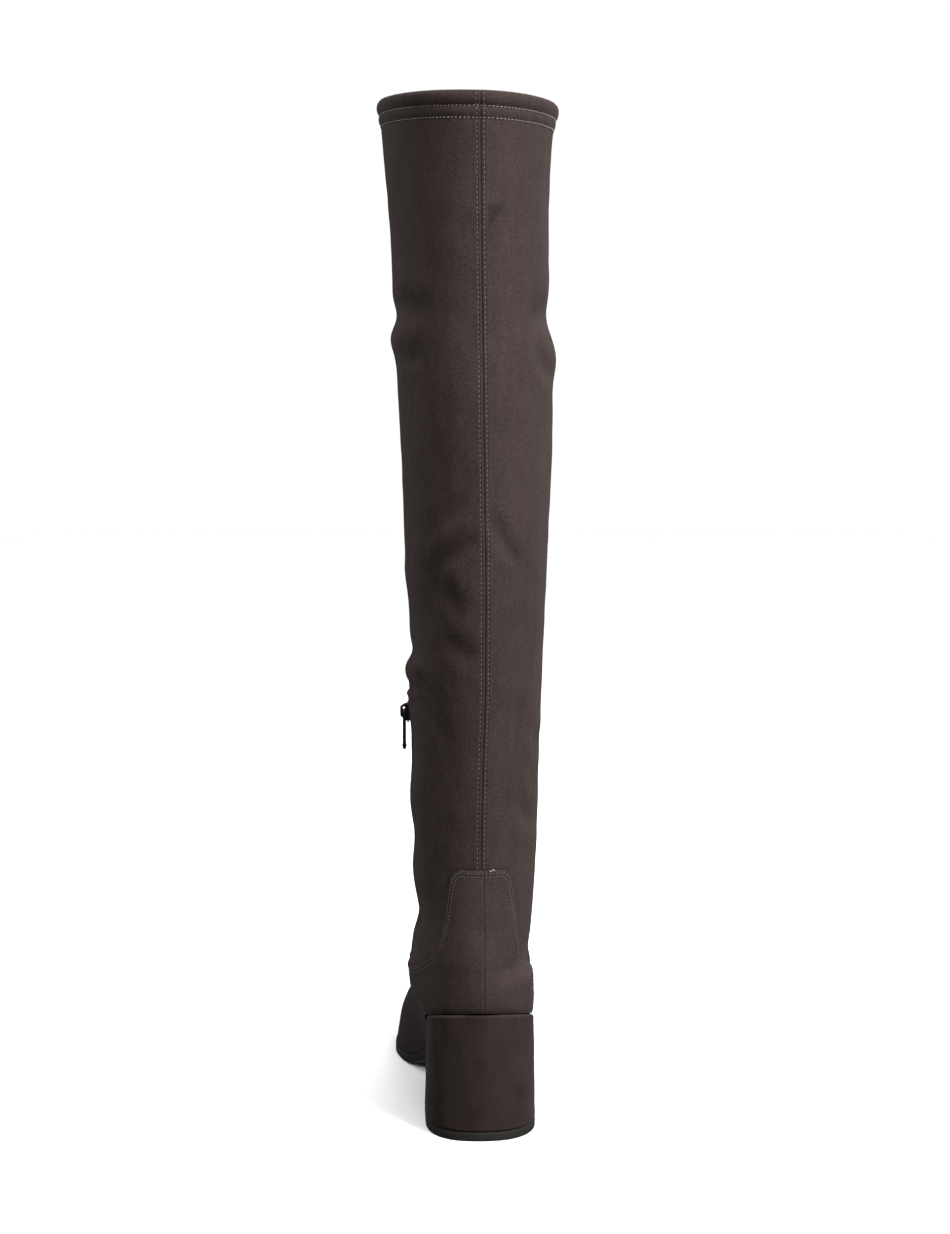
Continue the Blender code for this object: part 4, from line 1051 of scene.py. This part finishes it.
def make_stitching(light, grey, dim, dark):
    """All visible seams: hem, back seam, the foot's upper edge and the counter's middle."""
    hem = Stitches("hem")
    turns = np.linspace(-math.pi, math.pi, 1400)
    for drop, out in zip(HEM_ROWS, HEM_STITCH_LIFTS):
        z = collar_height(turns) - drop
        hem.row(surface_points(turns, z, leg_relief(turns, z) + out), normals(turns, z))
    hem.make(light, dark)
    seam = Stitches("seam")
    for side in (-1, 1):
        z = np.linspace(COUNTER_HEIGHT + 0.0006, BOOT_HEIGHT - HEM_ROWS[1] - 0.0006, 1200)
        seam.row(*leg_line(seam_across(z) + side * SEAM_ROW, z))
        z = np.linspace(BOOT_HEIGHT - HEM_ROWS[1] + 0.0008, BOOT_HEIGHT - 0.0010, 60)
        drops, proud = zip(*HEM[:-HEM_INNER_ROWS])
        lift = np.interp(BOOT_HEIGHT - z, drops[::-1], proud[::-1])
        seam.row(*leg_line(seam_across(z) + side * SEAM_ROW, z, lift))
    seam.make(grey, dark)
    foot = Stitches("foot")
    for drop in FOOT_STITCH_ROWS:
        for start, end in FOOT_STITCH_RUNS:
            foot.row(*foot_edge_line(start, end, drop))
    foot.make(dim, dark)
    counter = Stitches("counter")
    z = np.linspace(HEEL_HEIGHT + 0.002, COUNTER_HEIGHT - FOOT_STITCH_ROWS[1] - 0.001, 200)
    turn = np.zeros(200)
    for _ in range(6):
        turn = turn + (COUNTER_SEAM - last_points(turn, z)[:, 0]) / 0.05
    counter.row(surface_points(turn, z, FOOT_PROUD + foot_relief(turn, z)), normals(turn, z))
    # The counter's middle seam is drawn in painted shadow, thread and needle holes alike
    counter.make(dark, dark)
    knot = Stitches("knot")
    across = np.linspace(KNOT[0], KNOT[1], 40)
    z = COUNTER_HEIGHT + 0.0004 + 0.0005 * np.sin(across / 0.0004)
    turn = CHART.turn(across, z)
    knot.row(surface_points(turn, z, FOOT_STEP + 0.0004), normals(turn, z))
    knot.make(light, dark)


def strip_points(z, across, depth):
    """Points on the zip's line: heights, distances across it and depths out of the surface."""
    step = 5e-3
    run = last_points(ZIP_TURN + step, z) - last_points(ZIP_TURN - step, z)
    pull = np.linalg.norm(run, axis=-1) / (2 * step)
    return surface_points(ZIP_TURN + across / pull, z, depth + zip_relief(CHART.u(ZIP_TURN, z), z))


def rounded_block(length, width, height, sides=10, power=4.0):
    """Rounded block along X, its section a soft rectangle in Y and Z."""
    verts = []
    steps = ((-0.5, 0.60), (-0.42, 0.92), (-0.2, 1.0), (0.2, 1.0), (0.42, 0.92), (0.5, 0.60))
    for along, size in steps:
        for s in range(sides):
            a = 2 * math.pi * (s + 0.5) / sides
            c, d = math.cos(a), math.sin(a)
            y = math.copysign(abs(c) ** (2 / power), c) * width / 2 * size
            z = math.copysign(abs(d) ** (2 / power), d) * height / 2 * size
            verts.append((along * length, y, z))
    return np.array(verts), tube_faces(len(steps), sides)


def make_zip(tape_paint, tooth_paint):
    """Woven tape behind the slot and two rows of closed teeth on it."""
    behind = -SHAFT_WALL - 2 * PIECE_GAP
    z = np.linspace(ZIP_BOTTOM + 0.0020, ZIP_TOP + 0.0038, 110)
    across = np.linspace(-ZIP_TAPE_WIDTH / 2, ZIP_TAPE_WIDTH / 2, 23)
    rim = 0.00012 * bell(np.abs(across) - ZIP_TAPE_WIDTH / 2 + 0.001, 0.0006)
    front = strip_points(z[:, None], across, behind + rim)
    back = strip_points(z[:, None], across, behind - 0.0006 - rim)
    loops = np.concatenate([front, back[:, ::-1]], axis=1)
    grid = np.arange(loops.shape[0] * loops.shape[1]).reshape(loops.shape[:2])
    faces = quad_faces(grid)
    for row in (0, -1):
        for j in range(len(across) - 1):
            faces.append((grid[row, j], grid[row, j + 1], grid[row, -j - 2], grid[row, -j - 1]))
    tape = mesh_from("zip_woven_tape", loops.reshape(-1, 3), faces, sharp=40)
    add_piece("zip_woven_tape", tape, tape_paint, "zip_tape")
    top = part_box("zip_chain")[1].z
    places = np.arange(ZIP_BOTTOM + 0.0012, top, TOOTH_PITCH / 2)
    side = np.where(np.arange(len(places)) % 2 == 0, 1.0, -1.0)
    inner, outer = (strip_points(places, side * reach, behind + 0.0016) for reach in (0.00062, 0.00200))
    add_copies("zip_teeth", (inner + outer) / 2, outer - inner, normals(ZIP_TURN, places),
               rounded_block(0.0030, 0.00080, 0.0019), tooth_paint, "zip_chain")
    z = np.linspace(ZIP_BOTTOM + 0.001, top, 160)
    for name, across in (("zip_cord_inner", -0.0028), ("zip_cord_outer", 0.0028)):
        add_bead(name, strip_points(z, across, behind + 0.0004), 0.00045, tape_paint)


def add_bead(name, path, radius, paint):
    """Round bead that is sewn down along a path."""
    run = unit(np.gradient(path, axis=0))
    first = unit(np.cross(run, [0.0, 1.0, 0.0]))
    second = np.cross(run, first)
    angles = 2 * math.pi * np.arange(8)[:, None] / 8
    rings = path[:, None] + radius * (np.cos(angles) * first[:, None] + np.sin(angles) * second[:, None])
    add_piece(name, stacked(name, rings), paint)


def prism(outlines, axis, centre, thickness, bevel, segments=3):
    """Bevelled flat solid from an outline and any holes, thick along X or Y."""
    curve = bpy.data.curves.new("outline", "CURVE")
    curve.dimensions = "2D"
    curve.fill_mode = "BOTH"
    curve.extrude = thickness / 2 - bevel
    curve.bevel_depth = bevel
    curve.bevel_resolution = segments
    curve.offset = -bevel
    for outline in outlines:
        line = curve.splines.new("POLY")
        line.points.add(len(outline) - 1)
        line.use_cyclic_u = True
        for point, (a, b) in zip(line.points, outline):
            point.co = (a, b, 0.0, 1.0)
    thing = linked("outline", curve)
    bpy.context.view_layer.update()
    mesh = bpy.data.meshes.new_from_object(thing.evaluated_get(bpy.context.evaluated_depsgraph_get()))
    bpy.data.objects.remove(thing)
    bpy.data.curves.remove(curve)
    mesh.transform(Matrix.Translation(centre) @ PRISM_TURNS[axis].to_4x4())
    bm = bmesh.new()
    bm.from_mesh(mesh)
    bmesh.ops.remove_doubles(bm, verts=bm.verts, dist=1e-6)
    bmesh.ops.recalc_face_normals(bm, faces=bm.faces)
    bm.to_mesh(mesh)
    bm.free()
    return mesh


def arc(centre, radius, start, end, count):
    """Points of an arc, angles in degrees."""
    angles = [math.radians(start + (end - start) * i / count) for i in range(count + 1)]
    return [(centre[0] + radius * math.cos(a), centre[1] + radius * math.sin(a)) for a in angles]


def add_metal(name, meshes, paint, node, body):
    """One metal piece from several meshes."""
    bm = bmesh.new()
    for mesh in meshes:
        bm.from_mesh(mesh)
    mesh = bpy.data.meshes.new(name)
    bm.to_mesh(mesh)
    bm.free()
    mesh.shade_smooth()
    mesh.set_sharp_from_angle(angle=math.radians(50))
    add_piece(name, mesh, paint, node, body)


def make_slider(metal):
    """Slider body with shoulders, and the bridge that holds the pull."""
    face = PIVOT.x + BRIDGE_HOLE + PIECE_GAP
    half, long = SLIDER_WIDTH / 2, SLIDER_LENGTH / 2
    shield = arc((half - 0.0016, long - 0.0016), 0.0016, 0, 90, 5)
    shield += [(0.0004, long), (0.0, long - 0.0005), (-0.0004, long)]
    shield += arc((-half + 0.0016, long - 0.0016), 0.0016, 90, 180, 5)
    shield += [(-half, 0.0005), (-half * 0.86, -long * 0.55)]
    shield += arc((-half * 0.84 + 0.0010, -long + 0.0010), 0.0010, 180, 270, 4)
    shield += arc((half * 0.84 - 0.0010, -long + 0.0010), 0.0010, 270, 360, 4)
    shield += [(half * 0.86, -long * 0.55), (half, 0.0005)]
    plate = 0.0010
    meshes = [prism([shield], "X", (face + plate / 2, PIVOT.y, PIVOT.z), plate, 0.00028),
              prism([shield], "X", (face + SLIDER_HEIGHT - plate / 2, PIVOT.y, PIVOT.z), plate, 0.00028)]
    middle = (face + SLIDER_HEIGHT / 2, PIVOT.y, PIVOT.z)
    for side in (-1, 1):
        rail = [(side * half * 0.98, long * 0.70), (side * half * 0.80, long * 0.72),
                (side * half * 0.66, -long * 0.80), (side * half * 0.84, -long * 0.82)]
        meshes.append(prism([rail], "X", middle, SLIDER_HEIGHT - 0.0008, 0.0001, 1))
    root = BRIDGE_HOLE + PIECE_GAP + 0.0004
    crown = BRIDGE_RADIUS
    bridge = [(root, 0.0052), (0.0008, 0.0050), (-0.0006, 0.0044)]
    bridge += arc((-crown + 0.0012, 0.0026), 0.0012, 110, 180, 5)
    bridge += arc((-crown + 0.0012, -0.0016), 0.0012, 180, 235, 5)
    bridge += [(0.0, -0.0044), (0.0010, -0.0050), (root, -0.0052)]
    window = [(x, z * 1.3 + 0.0023) for x, z in arc((-0.0003, 0.0), 0.00060, 360, 0, 14)[:-1]]
    eye = arc((0.0, 0.0), PULL_PIN + 0.0002, 360, 0, 14)[:-1]
    meshes.append(prism([bridge, window, eye], "Y", tuple(PIVOT), BRIDGE_WIDTH, 0.00022))
    add_metal("slider_metal", meshes, metal, "zip_slider", "boot")


def make_pull(metal):
    """Pull tab: two arms and a pin through the bridge, and a tab with a thicker end."""
    gap = BRIDGE_WIDTH / 2 + PIECE_GAP
    reach = PULL_REACH
    half = PULL_WIDTH / 2
    end = PULL_LENGTH
    arm = gap + PULL_ARM
    outline = [(arm, 0.0), (arm - 0.0001, 0.0007), (gap + PULL_ARM / 2, 0.0011), (gap + 0.0001, 0.0007),
               (gap, 0.0)]
    outline += arc((0.0, -reach + gap), gap, 360, 180, 10)[1:-1]
    outline += [(-y, z) for y, z in reversed(outline[:5])]
    neck = reach + PULL_WIDTH / 4
    flank = [(half * 0.74, -end + half), (half * 0.80, -end + half * 1.2), (half, -neck), (arm, -reach)]
    outline += [(-y, z) for y, z in reversed(flank)]
    outline += arc((0.0, -end + half * 0.72), half * 0.72, 190, 350, 12) + flank
    slot = [(y * 0.52, z) for y, z in arc((0.0, -end + half * 2.6), half * 0.62, 180, 360, 8)]
    slot += [(y * 0.60, z) for y, z in arc((0.0, -neck - half * 0.70), half * 0.62, 0, 180, 8)]
    meshes = [prism([outline, slot], "X", tuple(PIVOT), PULL_THICKNESS, 0.00028),
              prism([slot], "X", tuple(PIVOT), PULL_THICKNESS * 0.55, 0.0001, 1)]
    pin = arc((0.0, 0.0), PULL_PIN, 0, 360, 16)[:-1]
    meshes.append(prism([pin], "Y", tuple(PIVOT), 2 * gap + PULL_ARM, 0.00005, 1))
    knob = arc((0.0, -end + half * 0.75), PULL_THICKNESS * 0.68, 0, 360, 20)[:-1]
    meshes.append(prism([knob], "Y", tuple(PIVOT), PULL_WIDTH * 0.66, 0.0003))
    add_metal("pull_metal", meshes, metal, "zip_pull", "pull")


class Paint:
    """A node material, built with short calls."""

    SOCKETS = {"color": "Base Color", "rough": "Roughness", "metal": "Metallic",
               "specular": "Specular IOR Level", "sheen": "Sheen Weight", "sheen_rough": "Sheen Roughness",
               "sheen_tint": "Sheen Tint", "normal": "Normal", "glow": "Emission Color",
               "glow_strength": "Emission Strength"}

    def __init__(self, name):
        self.material = bpy.data.materials.new(name)
        self.material.use_nodes = True
        self.tree = self.material.node_tree
        self.shader = self.tree.nodes["Principled BSDF"]
        self.place = self.node("ShaderNodeTexCoord", "Object", {})

    def put(self, socket, value):
        """Link a node's result to a socket, or set a plain value on it."""
        if isinstance(value, bpy.types.NodeSocket):
            self.tree.links.new(value, socket)
        else:
            socket.default_value = value

    def node(self, kind, output, values, **settings):
        """The output of a new node with these values on its inputs and these settings."""
        made = self.tree.nodes.new(kind)
        for key, value in settings.items():
            setattr(made, key, value)
        for key, value in values.items():
            self.put(made.inputs[key], value)
        return made.outputs[output]

    def set(self, **values):
        """Set or link the shader's sockets."""
        for key, value in values.items():
            self.put(self.shader.inputs[self.SOCKETS[key]], value)

    def stretched(self, scale):
        return self.node("ShaderNodeMapping", "Vector", {"Vector": self.place, "Scale": scale})

    def noise(self, scale, detail=3.0, rough=0.55, place=None):
        return self.node("ShaderNodeTexNoise", "Fac", {"Vector": place or self.place, "Scale": scale,
                                                       "Detail": detail, "Roughness": rough})

    def waves(self, scale, direction):
        return self.node("ShaderNodeTexWave", "Fac", {"Vector": self.place, "Scale": scale},
                         bands_direction=direction)

    def math(self, how, a, b):
        return self.node("ShaderNodeMath", 0, {0: a, 1: b}, operation=how)

    def span(self, value, low, high, from_low=0.3, from_high=0.7):
        return self.node("ShaderNodeMapRange", "Result", {
            "Value": value, "From Min": from_low, "From Max": from_high, "To Min": low, "To Max": high})

    def mix(self, share, dark, light):
        """Between two colours, which may be given without their alpha."""
        return self.node("ShaderNodeMix", 2, {"Factor": share, 6: (*dark, 1.0), 7: (*light, 1.0)},
                         data_type="RGBA")

    def shaded(self, color, name):
        """A colour darkened by the number that the mesh holds at each point: its marks and painted shading.
        """
        value = self.node("ShaderNodeAttribute", "Fac", {}, attribute_name=name)
        grey = self.node("ShaderNodeCombineColor", 0, {0: value, 1: value, 2: value})
        return self.node("ShaderNodeMix", 2, {"Factor": 1.0, 6: color, 7: grey}, data_type="RGBA",
                         blend_type="MULTIPLY")

    def bump(self, height, distance, strength, normal=None):
        values = {"Height": height, "Distance": distance, "Strength": strength}
        if normal is not None:
            values["Normal"] = normal
        return self.node("ShaderNodeBump", "Normal", values)


def suede_paint(name, mottle, tone=1.0):
    """Brushed microsuede: a fine nap, cloudy where it is stroked, with a velvety edge."""
    paint = Paint(name)
    broad = paint.noise(38.0, 3.0, 0.5, paint.stretched((1.0, 1.0, 0.4)))
    patch = paint.noise(170.0, 4.0, 0.6, paint.stretched((1.0, 1.0, 0.35)))
    fine = paint.noise(950.0, 3.0, 0.7)
    cloud = paint.math("ADD", paint.math("MULTIPLY", broad, mottle), paint.math("MULTIPLY", patch, 0.20))
    cloud = paint.math("ADD", cloud, paint.math("MULTIPLY", fine, 0.80 - mottle))
    dark, light = ([tone * value for value in color] for color in (SUEDE_DARK, SUEDE_LIGHT))
    color = paint.mix(paint.span(cloud, 0.0, 1.0, 0.38, 0.62), dark, light)
    nap = paint.bump(patch, 0.00030, 0.35, paint.bump(fine, 0.00030, 0.8))
    # The mesh's marks and painted shade darken the colour
    paint.set(color=paint.shaded(color, "marks_and_painted_shade"), rough=paint.span(patch, 0.88, 0.98), specular=0.04,
              sheen=0.045, sheen_rough=0.40, sheen_tint=(0.90, 0.82, 0.79, 1.0), normal=nap)
    return paint.material


def lining_paint():
    """Fine knitted lining."""
    paint = Paint("knit_lining")
    knit = paint.math("MULTIPLY", paint.waves(420.0, "Z"), paint.waves(420.0, "X"))
    paint.set(color=paint.mix(knit, (0.045, 0.038, 0.034), (0.110, 0.096, 0.088)), specular=0.2, sheen=0.15,
              rough=paint.span(paint.noise(60.0), 0.82, 0.95), normal=paint.bump(knit, 0.0002, 0.6))
    return paint.material


def rubber_paint(name, dark, light, rough, specular):
    """Moulded rubber with a fine grain."""
    paint = Paint(name)
    scuff = paint.noise(90.0, 5.0, 0.65)
    paint.set(color=paint.mix(paint.span(scuff, 0.0, 1.0), dark, light), specular=specular,
              rough=paint.span(scuff, rough - 0.08, rough + 0.10),
              normal=paint.bump(paint.noise(2200.0, 2.0), 0.00008, 0.5))
    return paint.material


def tape_paint():
    """Woven zip tape."""
    paint = Paint("zip_weave")
    weave = paint.math("MULTIPLY", paint.waves(900.0, "Y"), paint.waves(700.0, "Z"))
    paint.set(color=paint.mix(weave, (0.006, 0.006, 0.006), (0.020, 0.019, 0.019)), specular=0.25, sheen=0.1,
              rough=paint.span(paint.noise(300.0), 0.75, 0.9), normal=paint.bump(weave, 0.00015, 0.7))
    return paint.material


def tooth_paint():
    """Dull black coil."""
    paint = Paint("zip_coil")
    worn = paint.noise(400.0, 3.0)
    color = paint.mix(paint.span(worn, 0.0, 1.0), (0.008, 0.008, 0.008), (0.022, 0.022, 0.022))
    paint.set(color=color, rough=paint.span(worn, 0.30, 0.5), specular=0.5,
              normal=paint.bump(worn, 0.00003, 0.4))
    return paint.material


def metal_paint():
    """Black nickel with fine wear."""
    paint = Paint("black_nickel")
    worn = paint.noise(500.0, 4.0, 0.6)
    color = paint.mix(paint.span(worn, 0.0, 1.0), (0.016, 0.016, 0.016), (0.050, 0.049, 0.048))
    paint.set(color=color, metal=1.0, rough=paint.span(worn, 0.22, 0.38),
              normal=paint.bump(paint.noise(3000.0, 2.0), 0.00002, 0.3))
    return paint.material


def thread_paint(name):
    """Twisted sewing thread; the same look serves the painted shadow in the needle holes."""
    dark, light = THREADS[name]
    paint = Paint(name)
    twist = paint.waves(1500.0, "DIAGONAL")
    paint.set(color=paint.mix(twist, dark, light), rough=paint.span(paint.noise(500.0), 0.55, 0.75),
              specular=0.35, sheen=0.1, normal=paint.bump(twist, 0.00005, 0.5))
    return paint.material


def add_stage(name, make, paint):
    """One piece of the surroundings, that throws no light on the boot."""
    bm = bmesh.new()
    make(bm)
    mesh = bpy.data.meshes.new(name)
    bm.to_mesh(mesh)
    bm.free()
    mesh.materials.append(paint.material)
    thing = linked(name, mesh)
    thing.visible_diffuse = False
    thing.visible_glossy = False
    return thing


def make_stage():
    """Pale floor, and a pale surround that only the camera sees."""
    paint = Paint("pale_floor")
    paint.set(color=(0.80, 0.80, 0.80, 1.0), rough=0.9, specular=0.1)
    add_stage("floor", lambda bm: bmesh.ops.create_grid(
        bm, x_segments=1, y_segments=1, size=STAGE_REACH), paint)
    paint = Paint("pale_surround")
    paint.set(color=(0.0, 0.0, 0.0, 1.0), glow=(1.0, 1.0, 1.0, 1.0), glow_strength=1.0)
    dome = add_stage("surround", lambda bm: bmesh.ops.create_uvsphere(
        bm, u_segments=48, v_segments=24, radius=STAGE_REACH * 0.98), paint)
    dome.visible_transmission = False
    dome.visible_shadow = False


def aim(thing, direction):
    """Turn a lamp to shine along a direction."""
    thing.rotation_euler = Vector(direction).to_track_quat("-Z", "Y").to_euler()


def add_lamp(name, place, size, power):
    """Soft square lamp aimed at the middle of the boot."""
    lamp = bpy.data.lights.new(name, "AREA")
    lamp.shape = "RECTANGLE"
    lamp.size = lamp.size_y = size
    lamp.energy = power
    thing = linked(name, lamp)
    thing.location = place
    aim(thing, LAMP_AIM - Vector(place))


def make_light():
    """Dim surroundings, soft light from above, and soft lamps: key, fill, and two from the toe side."""
    world = bpy.data.worlds.new("studio")
    bpy.context.scene.world = world
    world.use_nodes = True
    back = world.node_tree.nodes["Background"]
    back.inputs["Color"].default_value = (1.0, 1.0, 1.0, 1.0)
    back.inputs["Strength"].default_value = WORLD_POWER
    sky = bpy.data.lights.new("sky", "SUN")
    sky.energy = SKY_POWER
    sky.angle = math.radians(SKY_ANGLE)
    aim(linked("sky", sky), SKY_AIM)
    for lamp in LAMPS:
        add_lamp(*lamp)


def make_camera():
    """The photograph's own camera, turned to the one boot."""
    data = bpy.data.cameras.new("camera")
    data.sensor_width = 36.0
    data.lens = PHOTO_FOCAL / PHOTO_HEIGHT * data.sensor_width
    data.clip_start = 0.05
    data.clip_end = 50.0
    camera = linked("camera", data)
    camera.location = CAMERA_PLACE
    camera.rotation_euler = (math.radians(90 - CAMERA_PITCH), 0.0, -math.radians(CAMERA_YAW))
    bpy.context.scene.camera = camera
    bpy.context.scene.view_settings.view_transform = "Standard"


def main():
    suede = suede_paint("suede_nap", 0.16)
    heel_suede = suede_paint("suede_heel", 0.55, HEEL_TONE)
    lining = lining_paint()
    sole = rubber_paint("sole_rubber", (0.003, 0.003, 0.003), (0.008, 0.0075, 0.007), 0.42, 0.12)
    heel = rubber_paint("heel_rubber_grey", (0.011, 0.0105, 0.0090), (0.018, 0.017, 0.0145), 0.70, 0.12)
    light, grey, dim, dark = (thread_paint(name) for name in THREADS)
    metal = metal_paint()
    make_shaft(suede)
    make_lining(lining)
    make_foot(suede)
    make_outsole(sole)
    make_insole(lining)
    make_heel(heel_suede, heel)
    make_zip(tape_paint(), tooth_paint())
    make_slider(metal)
    make_pull(metal)
    make_stitching(light, grey, dim, dark)
    make_stage()
    make_light()
    make_camera()


main()
